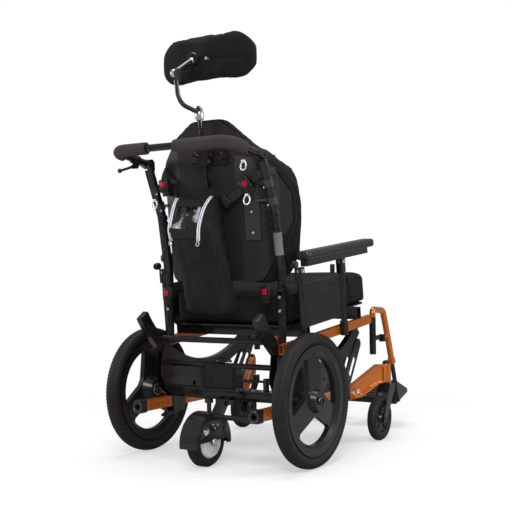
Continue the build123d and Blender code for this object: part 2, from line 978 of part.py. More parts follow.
pedal_tip = (behind(pedal_tip_behind), rail_low - 27)
for name, side in SIDES:
    with BuildPart() as wheel_lock:
        pedal_low = min(side * (rocker_x - rocker_width / 2), side * (rocker_x + rocker_width / 2))
        with BuildSketch(side_view(pedal_low)) as pedal_shape:
            with Locations(pedal_pin):
                Circle(pedal_head_radius)
            with Locations(pedal_tip):
                Circle(pedal_tip_radius)
            make_hull()
            with Locations(pedal_pin):
                Circle(pedal_pin_radius + shaft_gap, mode=Mode.SUBTRACT)
        extrude(amount=rocker_width)
    wheel_lock.part.label = f"wheel_lock_{name}"
    export_step(wheel_lock.part, f"parts/wheel_lock_{name}.step")


def rollers(place):
    """The two rollers, left and right, that turn on one pair of pins."""
    for side_name, side in SIDES:
        turned(
            (side * rocker_x, *place),
            (1, 0, 0),
            [
                (-rocker_width / 2, roller_pin_radius + shaft_gap),
                (-rocker_width / 2, roller_radius),
                (rocker_width / 2, roller_radius),
                (rocker_width / 2, roller_pin_radius + shaft_gap),
            ],
        )


with BuildPart() as rear_rollers:
    rollers(rear_roller)
rear_rollers.part.label = "rear_rollers"
export_step(rear_rollers.part, "parts/rear_rollers.step")

with BuildPart() as front_rollers:
    rollers(front_roller)
front_rollers.part.label = "front_rollers"
export_step(front_rollers.part, "parts/front_rollers.step")

# ================================================================ tilting seat
with BuildPart() as rockers:
    for name, side in SIDES:
        low_x = min(side * (rocker_x - rocker_width / 2), side * (rocker_x + rocker_width / 2))
        with BuildSketch(side_view(low_x)):
            with BuildLine():
                middle_angle = (rocker_rear_angle + rocker_front_angle) / 2
                ThreePointArc(
                    arc_point(rocker_outer, rocker_front_angle),
                    arc_point(rocker_outer, middle_angle),
                    arc_point(rocker_outer, rocker_rear_angle),
                )
                Line(
                    arc_point(rocker_outer, rocker_rear_angle),
                    arc_point(rocker_inner, rocker_rear_angle),
                )
                ThreePointArc(
                    arc_point(rocker_inner, rocker_rear_angle),
                    arc_point(rocker_inner, middle_angle),
                    arc_point(rocker_inner, rocker_front_angle),
                )
                Line(
                    arc_point(rocker_inner, rocker_front_angle),
                    arc_point(rocker_outer, rocker_front_angle),
                )
            make_face()
        extrude(amount=rocker_width)
        for angle in boss_angles:
            rod_between(
                (side * rocker_x, *arc_point(boss_path, angle)),
                (side * seat_rail_inner, *arc_point(boss_path, angle)),
                boss_radius,
            )
rockers.part.label = "rockers"
export_step(rockers.part, "parts/rockers.step")

with BuildPart() as seat_rails:
    for name, side in SIDES:
        with BuildSketch(seat_plane(side * seat_rail_x, 0, 0)):
            Rectangle(seat_rail_width, seat_rail_height)
            Rectangle(
                seat_rail_width - 2 * seat_rail_wall,
                seat_rail_height - 2 * seat_rail_wall,
                mode=Mode.SUBTRACT,
            )
        extrude(amount=seat_rail_length)
seat_rails.part.label = "seat_rails"
export_step(seat_rails.part, "parts/seat_rails.step")

rocker_inner_face = rocker_x - rocker_width / 2
with BuildPart() as seat_crossbar:
    rod_between(
        (-rocker_inner_face, behind(seat_bar_behind), seat_bar_z),
        (rocker_inner_face, behind(seat_bar_behind), seat_bar_z),
        seat_bar_radius,
    )
seat_crossbar.part.label = "seat_crossbar"
export_step(seat_crossbar.part, "parts/seat_crossbar.step")

# Two hollow cross channels stand on the seat rails and carry the pan.
rail_top_up = seat_rail_height / 2
seat_rail_outer = seat_rail_inner + seat_rail_width
with BuildPart() as seat_pan:
    with BuildSketch(seat_top_plane(0, (pan_start + pan_end) / 2, pan_height)):
        RectangleRounded(2 * pan_half_width, pan_end - pan_start, pan_corner)
    extrude(amount=pan_thickness)
    for place in channel_places:
        channel_height = pan_height - rail_top_up
        channel_middle = seat_point(place, rail_top_up + channel_height / 2)
        channel_plane = Plane(
            (-seat_rail_outer, *channel_middle),
            x_dir=(0, cos(radians(seat_angle)), -sin(radians(seat_angle))),
            z_dir=(1, 0, 0),
        )
        with BuildSketch(channel_plane):
            Rectangle(channel_width, channel_height)
            Rectangle(
                channel_width - 2 * channel_wall,
                channel_height - 2 * channel_wall,
                mode=Mode.SUBTRACT,
            )
        extrude(amount=2 * seat_rail_outer)
seat_pan.part.label = "seat_pan"
export_step(seat_pan.part, "parts/seat_pan.step")

with BuildPart() as seat_cushion:
    cushion_base = pan_height + pan_thickness
    with BuildSketch(seat_top_plane(0, (cushion_start + cushion_end) / 2, cushion_base)):
        RectangleRounded(2 * cushion_half_width, cushion_end - cushion_start, cushion_corner)
    extrude(amount=cushion_thickness)
    fillet(seat_cushion.faces().sort_by(Axis.Z)[-1].edges(), radius=cushion_edge)
seat_cushion.part.label = "seat_cushion"
export_step(seat_cushion.part, "parts/seat_cushion.step")

# Posts for the back's canes and sockets for the armrests, all carried by the seat rails.
socket_radius = post_radius + 2.0
cane_y = behind(cane_behind)
lug_inner = hinge_tongue / 2 + touch_gap
lug_outer = lug_inner + 4.5
with BuildPart() as post_sockets:
    for name, side in SIDES:
        rod_between(
            (side * cane_x, cane_y, post_foot_z),
            (side * cane_x, cane_y, back_hinge_z - 18),
            cane_radius,
        )
        block(
            span(side, cane_x, seat_rail_inner),
            (cane_y - 12, cane_y + 12),
            (post_foot_z, post_foot_z + 17),
        )
        for lug in (-1, 1):
            lug_x = side * cane_x + min(lug * lug_inner, lug * lug_outer)
            with BuildSketch(side_view(lug_x)) as lug_shape:
                with Locations((cane_y, back_hinge_z)):
                    Circle(hinge_knuckle)
                with Locations((cane_y, back_hinge_z - 22)):
                    Rectangle(2 * hinge_knuckle, 12)
                make_hull()
            extrude(amount=lug_outer - lug_inner)
        rod_between(
            (side * cane_x - lug_outer - 3, cane_y, back_hinge_z),
            (side * cane_x + lug_outer + 3, cane_y, back_hinge_z),
            hinge_pin,
        )
        for place in post_starts:
            with BuildSketch(seat_top_plane(side * armrest_x, place, socket_low)):
                Circle(socket_radius)
                with Locations((-side * socket_radius / 2, 0)):
                    Rectangle(socket_radius, 18)
            extrude(amount=socket_high - socket_low)
            with BuildSketch(seat_top_plane(side * armrest_x, place, socket_low + 3)):
                Circle(post_radius + shaft_gap)
            extrude(amount=socket_high - socket_low, mode=Mode.SUBTRACT)
post_sockets.part.label = "post_sockets"
export_step(post_sockets.part, "parts/post_sockets.step")

receiver_y = behind(-receiver_ahead)
with BuildPart() as hanger_receivers:
    for name, side in SIDES:
        rod_between(
            (side * seat_rail_x, receiver_y, receiver_low),
            (side * seat_rail_x, receiver_y, receiver_high),
            receiver_radius,
        )
        with BuildSketch(seat_plane(side * seat_rail_x, seat_rail_length, 0)):
            with Locations((0, -seat_rail_height / 4)):
                Rectangle(seat_rail_width, seat_rail_height / 2)
        extrude(amount=receiver_ahead + seat_rear_behind - seat_rail_length)
        # the catch: a lever under the hanger, with a paddle at its front end
        catch_front = receiver_y - receiver_radius - catch_reach
        block(
            span(side, seat_rail_x - 5, seat_rail_x + 5),
            (catch_front, receiver_y - receiver_radius + 3),
            (catch_z - 8, catch_z + 8),
        )
        block(
            span(side, seat_rail_x - 5, seat_rail_x + 13),
            (catch_front - 10, catch_front + 3),
            (catch_z - 16, catch_z + 10),
        )
        rod_between(
            (side * seat_rail_x, receiver_y, receiver_low - 1),
            (side * seat_rail_x, receiver_y, receiver_high + 1),
            hanger_pin_radius + shaft_gap,
            mode=Mode.SUBTRACT,
        )
hanger_receivers.part.label = "hanger_receivers"
export_step(hanger_receivers.part, "parts/hanger_receivers.step")

# ================================================================ reclining back
cane_points = [
    (cane_y, back_hinge_z + 14),
    (behind(cane_behind), cane_straight_z),
    (behind(cane_kink_behind), cane_kink_z),
    (behind(cane_joint_behind), cane_joint_z),
]
bar_rise = atan2(bar_rear_z - cane_joint_z, bar_rear_behind - cane_joint_behind)
joint_place = cane_points[-1]


def along_cane(height):
    """The y of the cane's centre line at a height between its bends."""
    for (y_low, z_low), (y_high, z_high) in zip(cane_points, cane_points[1:]):
        if z_low <= height <= z_high:
            return y_low + (y_high - y_low) * (height - z_low) / (z_high - z_low)


def knuckle(x_span, near, towards, root_radius, bore=0.0):
    """Half of a side-by-side joint: a round eye at one place that narrows towards another."""
    with BuildSketch(side_view(min(x_span))) as eye:
        with Locations(near):
            Circle(joint_radius)
        with Locations(towards):
            Circle(root_radius)
        make_hull()
        if bore:
            with Locations(near):
                Circle(bore, mode=Mode.SUBTRACT)
    extrude(eye.sketch, amount=max(x_span) - min(x_span))


with BuildPart() as back_canes:
    joint_run = Vector(*cane_points[-2]) - Vector(*joint_place)
    cane_end = Vector(*joint_place) + joint_run.normalized() * joint_stand
    for name, side in SIDES:
        route = [(side * cane_x, *place) for place in cane_points[:-1]]
        bent_bar([*route, (side * cane_x, cane_end.X, cane_end.Y)], cane_bend, cane_radius)
        knuckle(
            span(side, cane_x - joint_half, cane_x - touch_gap / 2),
            joint_place,
            (cane_end.X, cane_end.Y),
            9,
        )
        rod_between(
            (side * (cane_x - joint_half - 3), *joint_place),
            (side * (cane_x + joint_half + 3), *joint_place),
            joint_pin,
        )
        low_x = side * cane_x - hinge_tongue / 2
        with BuildSketch(side_view(low_x)):
            with Locations((cane_y, back_hinge_z)):
                Circle(hinge_knuckle - 1)
            with Locations((cane_y, back_hinge_z + 10)):
                Rectangle(2 * hinge_knuckle - 2, 20)
            with Locations((cane_y, back_hinge_z)):
                Circle(hinge_pin + shaft_gap, mode=Mode.SUBTRACT)
        extrude(amount=hinge_tongue)
back_canes.part.label = "back_canes"
export_step(back_canes.part, "parts/back_canes.step")


def back_outline(inset):
    """The back's outline seen from the front, drawn in by an inset, as a closed ring."""
    foot_width, foot_height = back_half_outline[0]
    half = [(foot_width - inset, back_low_z + foot_height + inset / 2)]
    half += [(width - inset, back_low_z + height) for width, height in back_half_outline[1:]]
    half += [(back_top_half_width - inset / 2, back_low_z + back_height - inset)]
    return half + [(-width, height) for width, height in reversed(half)]


shell_run = [*[(-x, y) for x, y in reversed(shell_bends)], *shell_bends]
with BuildLine() as shell_contour:
    FilletPolyline(*shell_run, radius=shell_bend)


def cut_to_outline(inset):
    """Trim what stands on the back's plane to the outline seen from the front."""
    with BuildSketch(Plane.XZ.offset(-behind(back_height))) as face:
        with BuildLine():
            FilletPolyline(*back_outline(inset), radius=back_outline_corner, close=True)
        make_face()
    extrude(face.sketch, amount=2 * back_height, mode=Mode.INTERSECT)


with BuildPart() as back_shell:
    with BuildSketch(back_plane(-back_cut_over)):
        trace(shell_contour.line, line_width=shell_thickness)
    extrude(amount=back_height + 3 * back_cut_over)
    cut_to_outline(shell_inset)
back_shell.part.label = "back_shell"
export_step(back_shell.part, "parts/back_shell.step")


def drawn_forward(points, distance):
    """A run of points moved square to itself, towards the seat, with mitred corners."""
    places = [Vector(*place) for place in points]
    runs = [(after - before).normalized() for before, after in zip(places, places[1:])]
    squares = [Vector(run.Y, -run.X) for run in runs]
    moved = []
    for place, before, after in zip(places, [squares[0], *squares], [*squares, squares[-1]]):
        shift = (before + after) * (distance / (1 + before.dot(after)))
        moved.append((place.X + shift.X, place.Y + shift.Y))
    return moved


with BuildPart() as back_cushion:
    pad_rear = shell_thickness / 2 + touch_gap
    pad_back = drawn_forward(shell_run, pad_rear)
    pad_front = drawn_forward(shell_run, pad_rear + pad_thickness)
    with BuildSketch(back_plane(-back_cut_over)):
        with BuildLine():
            FilletPolyline(*pad_back, radius=shell_bend - pad_rear)
            Line(pad_back[-1], pad_front[-1])
            FilletPolyline(*pad_front, radius=pad_bend)
            Line(pad_front[0], pad_back[0])
        make_face()
    extrude(amount=back_height + 3 * back_cut_over)
    cut_to_outline(0)
back_cushion.part.label = "back_cushion"
export_step(back_cushion.part, "parts/back_cushion.step")

shell_rear = shell_bends[0][1] + shell_thickness / 2 + touch_gap
def shell_rear_at(height):
    """The y of the shell's flat rear face, past the touch gap, at a height."""
    lean = radians(back_angle)
    return behind(back_low_behind) + (height - back_low_z) * tan(lean) + shell_rear / cos(lean)


# The bag hangs askew, narrower towards its foot.
with BuildPart() as backpack:
    for height, rear in (
        (bag_low_z, behind(bag_low_behind - bag_foot_in)),
        (bag_low_z + bag_foot_rise, behind(bag_low_behind)),
        (bag_high_z - bag_shoulder_drop, behind(bag_high_behind)),
        (bag_high_z, shell_rear_at(bag_high_z) + bag_top_depth),
    ):
        share = (height - bag_low_z) / (bag_high_z - bag_low_z)
        right, left = (
            low + (high - low) * share for low, high in zip(bag_low_sides, bag_high_sides)
        )
        front = shell_rear_at(height)
        with BuildSketch(Plane.XY.offset(height)) as level:
            with BuildLine():
                Polyline((right, front), (left, front), (left, rear), (right, rear), close=True)
            make_face()
            fillet(level.vertices().sort_by(Axis.Y)[-2:], radius=bag_edge)
    loft(ruled=True)
backpack.part.label = "backpack"
export_step(backpack.part, "parts/backpack.step")

# Flat plates on the shell's rear face, with clamps round the canes.
with BuildPart() as shell_brackets:
    slope_start, slope_end = Vector(*shell_bends[0]), Vector(*shell_bends[1])
    slope = (slope_end - slope_start).normalized()
    out = Vector(-slope.Y, slope.X) * (shell_thickness / 2 + touch_gap + bracket_plate / 2)
    plate_from = slope_start + slope * 16 + out
    plate_to = slope_end - slope * 8 + out
    for name, side in SIDES:
        with BuildLine(mode=Mode.PRIVATE) as strip:
            Line((side * plate_from.X, plate_from.Y), (side * plate_to.X, plate_to.Y))
        with BuildSketch(back_plane(bracket_low_z - back_low_z)):
            trace(strip.line, line_width=bracket_plate)
        extrude(amount=bracket_height)
        for height in clamp_heights:
            ring_y = along_cane(height)
            plate_y = back_point(height - back_low_z, plate_to.Y + clamp_arm_radius)[0]
            rod_between(
                (side * (cane_x - cane_radius), ring_y, height),
                (side * (plate_to.X - 8), plate_y, height),
                clamp_arm_radius,
            )
            rod_between(
                (side * cane_x, along_cane(height - clamp_reach), height - clamp_reach),
                (side * cane_x, along_cane(height + clamp_reach), height + clamp_reach),
                cane_radius + clamp_wall,
            )
        for height in clamp_heights:
            rod_between(
                (side * cane_x, along_cane(height - 18), height - 18),
                (side * cane_x, along_cane(height + 18), height + 18),
                cane_radius + touch_gap,
                mode=Mode.SUBTRACT,
            )
shell_brackets.part.label = "shell_brackets"
export_step(shell_brackets.part, "parts/shell_brackets.step")


def rod_point(height):
    """The (y, z) of the headrest rod's centre line at a height."""
    share = (height - rod_low[1]) / (rod_high[1] - rod_low[1])
    return (behind(rod_low[0] + share * (rod_high[0] - rod_low[0])), height)


def rod_run(low, high, radius, mode=Mode.ADD, x=0.0):
    """A round piece along the headrest rod between two heights."""
    rod_between((x, *rod_point(low)), (x, *rod_point(high)), radius, mode)


with BuildPart() as headrest_clamp:
    with BuildSketch(back_plane(clamp_low_z - back_low_z)):
        with Locations((0, shell_rear + clamp_depth / 2)):
            RectangleRounded(48, clamp_depth, 4)
        with Locations((-50, shell_rear + 3)):
            Rectangle(60, 6)
    extrude(amount=clamp_high_z - clamp_low_z)
    knob_place = back_point(clamp_low_z - back_low_z + 20, shell_rear + clamp_depth / 2)
    rod_between((22, *knob_place), (44, *knob_place), 11)
    screw_place = back_point(clamp_low_z - back_low_z + 20, shell_rear + 5)
    screw_end = back_point(clamp_low_z - back_low_z + 20, shell_rear + 16)
    rod_between((-64, *screw_place), (-64, *screw_end), 9)
    rod_run(clamp_low_z - 30, clamp_high_z + 30, rod_radius + shaft_gap, mode=Mode.SUBTRACT)
headrest_clamp.part.label = "headrest_clamp"
export_step(headrest_clamp.part, "parts/headrest_clamp.step")

with BuildPart() as harness_buckles:
    for name, side in SIDES:
        buckle_out = out.normalized() * (
            shell_thickness / 2 + 2 * touch_gap + bracket_plate + buckle_depth / 2
        )
        buckle_from = slope_start + slope * 24 + buckle_out
        buckle_to = slope_start + slope * 48 + buckle_out
        with BuildLine(mode=Mode.PRIVATE) as strip:
            Line((side * buckle_from.X, buckle_from.Y), (side * buckle_to.X, buckle_to.Y))
        with BuildSketch(back_plane(buckle_low_z - back_low_z)):
            trace(strip.line, line_width=buckle_depth)
        extrude(amount=buckle_height)
harness_buckles.part.label = "harness_buckles"
export_step(harness_buckles.part, "parts/harness_buckles.step")

# A brake cable comes down the outside of the left cane.
with BuildPart() as control_cables:
    cable_x = cane_x + cane_radius + clamp_wall + cable_radius + touch_gap
    cable_foot_z = back_hinge_z + cable_foot_rise
    cable_heights = (cable_top_z, cane_kink_z, cane_straight_z, cable_foot_z)
    bent_bar(
        [(cable_x, along_cane(height), height) for height in cable_heights],
        cane_bend,
        cable_radius,
    )
control_cables.part.label = "control_cables"
export_step(control_cables.part, "parts/control_cables.step")

# ================================================================ push bar
bar_run = Vector(cos(bar_rise), sin(bar_rise))
bar_start = Vector(*joint_place) + bar_run * joint_stand
bar_rear_y = behind(bar_rear_behind)


def bar_height(y):
    """The height of the push bar's side arms at a y."""
    return joint_place[1] + (y - joint_place[0]) * bar_run.Y / bar_run.X


with BuildPart() as push_bar:
    bent_bar(
        [
            (-cane_x, bar_start.X, bar_start.Y),
            (-cane_x, bar_rear_y, bar_rear_z),
            (cane_x, bar_rear_y, bar_rear_z),
            (cane_x, bar_start.X, bar_start.Y),
        ],
        bar_bend,
        bar_radius,
    )
    for name, side in SIDES:
        eye_root = bar_start + bar_run * 8
        knuckle(
            span(side, cane_x + touch_gap / 2, cane_x + joint_half),
            joint_place,
            (eye_root.X, eye_root.Y),
            9,
            joint_pin + shaft_gap,
        )
    # the lever's clamp, with two ears and a pin
    clamp_start = behind(lever_clamp_behind - 12)
    clamp_end = behind(lever_clamp_behind + 12)
    rod_between(
        (cane_x, clamp_start, bar_height(clamp_start)),
        (cane_x, clamp_end, bar_height(clamp_end)),
        bar_radius + 4,
    )
    pivot_place = (behind(lever_pivot[0]), lever_pivot[1])
    for ear in (-1, 1):
        ear_x = lever_x + ear * (lever_tongue / 2 + touch_gap)
        with BuildSketch(side_view(min(ear_x, ear_x + ear * 3))) as ear_shape:
            with Locations(pivot_place):
                Circle(8)
            with Locations((behind(lever_clamp_behind), bar_height(clamp_start) - 7)):
                Rectangle(20, 4)
            make_hull()
        extrude(amount=3)
    pin_half_length = lever_tongue / 2 + touch_gap + 5
    rod_between(
        (lever_x - pin_half_length, *pivot_place),
        (lever_x + pin_half_length, *pivot_place),
        lever_pin,
    )
push_bar.part.label = "push_bar"
export_step(push_bar.part, "parts/push_bar.step")

with BuildPart() as foam_grips:
    for side, start, end in (
        (-1, grip_right_start, grip_right_end),
        (1, grip_left_start, grip_left_end),
    ):
        bent_bar(
            [
                (start, bar_rear_y, bar_rear_z),
                (side * cane_x, bar_rear_y, bar_rear_z),
                (side * cane_x, behind(end), bar_height(behind(end))),
            ],
            bar_bend,
            grip_radius,
            bar_radius + touch_gap,
        )
foam_grips.part.label = "foam_grips"
export_step(foam_grips.part, "parts/foam_grips.step")

with BuildPart() as brake_lever:
    with BuildSketch(side_view(lever_x - lever_tongue / 2)):
        with Locations(pivot_place):
            Circle(7)
        with Locations((pivot_place[0] + 22, pivot_place[1] - 5)):
            Circle(4)
        make_hull()
        with Locations(pivot_place):
            Circle(lever_pin + shaft_gap, mode=Mode.SUBTRACT)
    extrude(amount=lever_tongue)
    blade_end = (lever_tip[0], behind(lever_tip[1]), lever_tip[2])
    rod_between((lever_x, pivot_place[0] + 18, pivot_place[1] - 4), blade_end, 4)
    with Locations(blade_end):
        Sphere(7)
brake_lever.part.label = "brake_lever"
export_step(brake_lever.part, "parts/brake_lever.step")

# ================================================================ headrest
with BuildPart() as headrest_rod:
    rod_run(rod_low[1], swing_high_z + 6, rod_radius)
    rod_run(rod_low[1], rod_low[1] + rod_sleeve_length, rod_sleeve_radius)
    rod_run(collar_low_z, collar_high_z, rod_radius + 4)
headrest_rod.part.label = "headrest_rod"
export_step(headrest_rod.part, "parts/headrest_rod.step")

ball_place = (behind(ball_behind), ball_z)
knob_place = (behind(knob_behind), knob_z)
with BuildPart() as headrest_arm:
    rod_run(collar_high_z + touch_gap, swing_high_z, swing_radius)
    arm_root = rod_point((collar_high_z + swing_high_z) / 2)
    bent_bar(
        [
            (0, arm_root[0] + 4, arm_root[1]),
            (0, ball_place[0] - 12, arm_root[1] + 16),
            (0, ball_place[0], ball_place[1] - 20),
        ],
        50,
        arm_radius,
    )
    with BuildSketch(side_view(-headrest_eye)):
        with Locations(ball_place):
            Circle(headrest_eye)
        with Locations((ball_place[0], ball_place[1] - 14)):
            Rectangle(2 * arm_radius, 16)
    extrude(amount=headrest_eye - touch_gap / 2)
    rod_between((-headrest_eye, *ball_place), (headrest_eye + 4, *ball_place), headrest_pin)
    rod_run(collar_low_z, swing_high_z + 4, rod_radius + shaft_gap, mode=Mode.SUBTRACT)
headrest_arm.part.label = "headrest_arm"
export_step(headrest_arm.part, "parts/headrest_arm.step")

with BuildPart() as headrest_link:
    rod_between(
        (headrest_eye / 2, *ball_place), (headrest_eye / 2, *knob_place), headrest_eye / 2 - 0.2
    )
    for place in (ball_place, knob_place):
        with BuildSketch(side_view(touch_gap / 2)):
            with Locations(place):
                Circle(headrest_eye - 1)
        extrude(amount=headrest_eye - touch_gap)
    for place in (ball_place, knob_place):
        rod_between(
            (-1, *place), (2 * headrest_eye, *place), headrest_pin + shaft_gap, Mode.SUBTRACT
        )
headrest_link.part.label = "headrest_link"
export_step(headrest_link.part, "parts/headrest_link.step")

# The pad's ends sweep forward. Its back plate carries the eye and pin of the last joint.
headrest_rear_y = behind(headrest_rear_behind)
headrest_middle_y = headrest_rear_y - headrest_thickness / 2
half_span = headrest_width / 2 - 4
with BuildPart() as headrest_pad:
    with BuildSketch(Plane.XY.offset(headrest_centre_z - headrest_height / 2)):
        with BuildLine() as sweep_line:
            ThreePointArc(
                (-half_span, headrest_middle_y - headrest_sweep),
                (0, headrest_middle_y),
                (half_span, headrest_middle_y - headrest_sweep),
            )
        trace(line_width=headrest_thickness)
    extrude(amount=headrest_height)
    with BuildSketch(Plane.XZ.offset(-behind(back_height))) as face:
        with Locations((0, headrest_centre_z)):
            RectangleRounded(headrest_width, headrest_height, headrest_corner)
    extrude(amount=2 * back_height, mode=Mode.INTERSECT)
    turned(
        (0, headrest_rear_y - 3, knob_z),
        (0, 1, 0),
        [(0, 0), (0, 34), (6, 34), (9, 20), (9, 0)],
    )
    with BuildSketch(side_view(-headrest_eye)):
        with Locations(knob_place):
            Circle(headrest_eye)
        with Locations(((knob_place[0] + headrest_rear_y) / 2, knob_z)):
            Rectangle(knob_place[0] - headrest_rear_y, 2 * headrest_eye - 4)
    extrude(amount=headrest_eye - touch_gap / 2)
    rod_between((-headrest_eye, *knob_place), (headrest_eye + 4, *knob_place), headrest_pin)
headrest_pad.part.label = "headrest_pad"
export_step(headrest_pad.part, "parts/headrest_pad.step")

# ================================================================ armrests
for name, side in SIDES:
    with BuildPart() as armrest_frame:
        for place in post_starts:
            with BuildSketch(seat_top_plane(side * armrest_x, place, post_low)):
                Circle(post_radius)
            extrude(amount=post_top - post_low)
            with BuildSketch(seat_top_plane(side * armrest_x, place, guard_high + 6)):
                RectangleRounded(25, 28, 6)
            extrude(amount=post_top - guard_high - 6)
        frame_middle = (arm_pad_start + arm_pad_end) / 2
        with BuildSketch(seat_top_plane(side * arm_pad_x, frame_middle - 10, post_top)):
            RectangleRounded(26, arm_pad_end - arm_pad_start - 40, 6)
        extrude(amount=arm_pad_low - post_top)
    armrest_frame.part.label = f"armrest_frame_{name}"
    export_step(armrest_frame.part, f"parts/armrest_frame_{name}.step")

    with BuildPart() as arm_pad:
        with BuildSketch(seat_top_plane(side * arm_pad_x, frame_middle, arm_pad_low)):
            RectangleRounded(arm_pad_width, arm_pad_end - arm_pad_start, 14)
        extrude(amount=arm_pad_thickness)
        fillet(arm_pad.faces().sort_by(Axis.Z)[-1].edges(), radius=9)
    arm_pad.part.label = f"arm_pad_{name}"
    export_step(arm_pad.part, f"parts/arm_pad_{name}.step")

    # The guard stands between the posts and has raised ribs along it.
    with BuildPart() as side_guard:
        guard_start = post_starts[0] + post_radius + touch_gap
        guard_end = post_starts[1] - post_radius - touch_gap
        guard_middle = (guard_start + guard_end) / 2
        with BuildSketch(seat_top_plane(side * armrest_x, guard_middle, guard_low)):
            Rectangle(guard_thickness, guard_end - guard_start)
        extrude(amount=guard_high - guard_low)
        for rib in range(rib_count):
            rib_up = guard_low + (rib + 1) * (guard_high - guard_low) / (rib_count + 1)
            with BuildSketch(seat_top_plane(side * armrest_x, guard_middle, rib_up)):
                Rectangle(guard_thickness + 3, guard_end - guard_start - 16)
            extrude(amount=4)
    side_guard.part.label = f"side_guard_{name}"
    export_step(side_guard.part, f"parts/side_guard_{name}.step")

# ================================================================ front rigging
lean = radians(leg_lean)
leg_top = (collar_ahead - leg_length * sin(lean), collar_z + leg_length * cos(lean))
leg_bottom = (
    behind(-collar_ahead - leg_reach * sin(lean)),
    collar_z - leg_reach * cos(lean),
)


def foot_point(forward, up):
    """The (y, z) of a place along the footplate from the leg's end and square to the plate."""
    return (
        leg_bottom[0] - forward * cos(lean) + up * sin(lean),
        leg_bottom[1] + forward * sin(lean) + up * cos(lean),
    )


def foot_plane(x, up):
    """A plane along the footplate that faces up from it; its y points to the heel."""
    return Plane((x, *foot_point(0, up)), x_dir=(1, 0, 0), z_dir=(0, sin(lean), cos(lean)))


def footrest(name, side):
    """The hanger, the leg tube that slides in it and the footplate that flips on the leg."""
    pin_x = side * seat_rail_x
    leg_x = side * (seat_rail_x - hanger_toe_in)
    hinge_x = leg_x - side * flip_hinge_in
    collar_place = (leg_x, behind(-collar_ahead), collar_z)
    with BuildPart() as hanger:
        bent_bar(
            [
                (pin_x, receiver_y, receiver_high + touch_gap),
                (pin_x, receiver_y, hanger_top_z),
                (pin_x - side * 2, behind(-hanger_knee[0]), hanger_knee[1]),
                (leg_x, behind(-leg_top[0]), leg_top[1]),
                collar_place,
            ],
            [15, 24, 30],
            hanger_radius,
        )
        rod_between(
            (pin_x, receiver_y, hanger_pin_low),
            (pin_x, receiver_y, hanger_top_z),
            hanger_pin_radius,
        )
        stub_share = (leg_top[1] - catch_z) / (leg_top[1] - hanger_knee[1])
        stub_y = behind(-leg_top[0] - stub_share * (hanger_knee[0] - leg_top[0]))
        rod_between(
            (leg_x, stub_y, catch_z),
            (leg_x, behind(-stub_ahead), catch_z),
            stub_radius,
        )
        rod_between(
            (leg_x, *foot_point(0, leg_reach + 16)),
            (leg_x, *foot_point(0, leg_reach)),
            collar_radius,
        )
        rod_between(
            (leg_x, *foot_point(0, leg_reach + leg_inside + 5)),
            (leg_x, *foot_point(0, leg_reach - 1)),
            leg_tube_radius + shaft_gap,
            mode=Mode.SUBTRACT,
        )
    hanger.part.label = f"hanger_{name}"
    export_step(hanger.part, f"parts/hanger_{name}.step")

    with BuildPart() as footrest_tube:
        rod_between(
            (leg_x, *foot_point(0, leg_reach + leg_inside)),
            (leg_x, *foot_point(0, -4)),
            leg_tube_radius,
        )
        gusset_low = min(leg_x, leg_x - side * gusset_out)
        slab(
            side_view(gusset_low),
            [
                foot_point(-6, 78),
                foot_point(6, 78),
                foot_point(88, 6),
                foot_point(88, -flip_knuckle_radius),
                foot_point(-20, -flip_knuckle_radius),
                foot_point(-20, 8),
            ],
            gusset_out,
            3,
        )
        for start, end in flip_lugs:
            knuckle_ends = [(hinge_x, *foot_point(forward, 0)) for forward in (start, end)]
            rod_between(*knuckle_ends, flip_knuckle_radius)
            with BuildSketch(foot_plane((hinge_x + leg_x) / 2, -flip_knuckle_radius)):
                with Locations((0, -(start + end) / 2)):
                    Rectangle(flip_hinge_in - 6, end - start)
            extrude(amount=2 * flip_knuckle_radius)
        rod_between(
            (hinge_x, *foot_point(flip_lugs[0][0], 0)),
            (hinge_x, *foot_point(88, 0)),
            flip_pin_radius,
        )
    footrest_tube.part.label = f"footrest_tube_{name}"
    export_step(footrest_tube.part, f"parts/footrest_tube_{name}.step")

    with BuildPart() as footplate:
        plate_edge = hinge_x - side * (flip_knuckle_radius + 1)
        plate_span = abs(plate_edge) - footplate_gap
        plate_middle_x = side * (footplate_gap + plate_span / 2)
        plate_middle = -(footplate_toe + footplate_heel) / 2
        with BuildSketch(foot_plane(plate_middle_x, -footplate_thickness / 2)):
            with Locations((0, plate_middle)):
                Rectangle(plate_span, footplate_toe - footplate_heel)
        extrude(amount=footplate_thickness)
        with BuildSketch(foot_plane(plate_middle_x, footplate_thickness / 2 - 2)):
            for groove in range(groove_count):
                with Locations((0, -footplate_heel - 22 - groove * 20)):
                    SlotOverall(plate_span - 30, 7)
        extrude(amount=4, mode=Mode.SUBTRACT)
        with BuildSketch(foot_plane(plate_middle_x, footplate_thickness / 2)):
            with Locations((0, -footplate_heel - 2.5)):
                Rectangle(plate_span - 12, 5)
        extrude(amount=heel_lip)
        for start, end in flip_eyes:
            knuckle_ends = [(hinge_x, *foot_point(forward, 0)) for forward in (start, end)]
            rod_between(*knuckle_ends, flip_knuckle_radius)
            with BuildSketch(foot_plane((hinge_x + plate_edge) / 2, -footplate_thickness / 2)):
                with Locations((-side * 2, -(start + end) / 2)):
                    Rectangle(flip_knuckle_radius + 5, end - start)
            extrude(amount=footplate_thickness)
        rod_between(
            (hinge_x, *foot_point(flip_lugs[0][0] - 5, 0)),
            (hinge_x, *foot_point(100, 0)),
            flip_pin_radius + shaft_gap,
            mode=Mode.SUBTRACT,
        )
    footplate.part.label = f"footplate_{name}"
    export_step(footplate.part, f"parts/footplate_{name}.step")


for name, side in SIDES:
    footrest(name, side)

# ================================================================ assist wheel
assist_y = behind(assist_behind)
assist_centre = (assist_x, assist_y, assist_radius)
pivot_y = behind(assist_pivot_behind)
lip_inner = assist_width / 2 + fender_side_gap
lip_outer = lip_inner + fender_wall

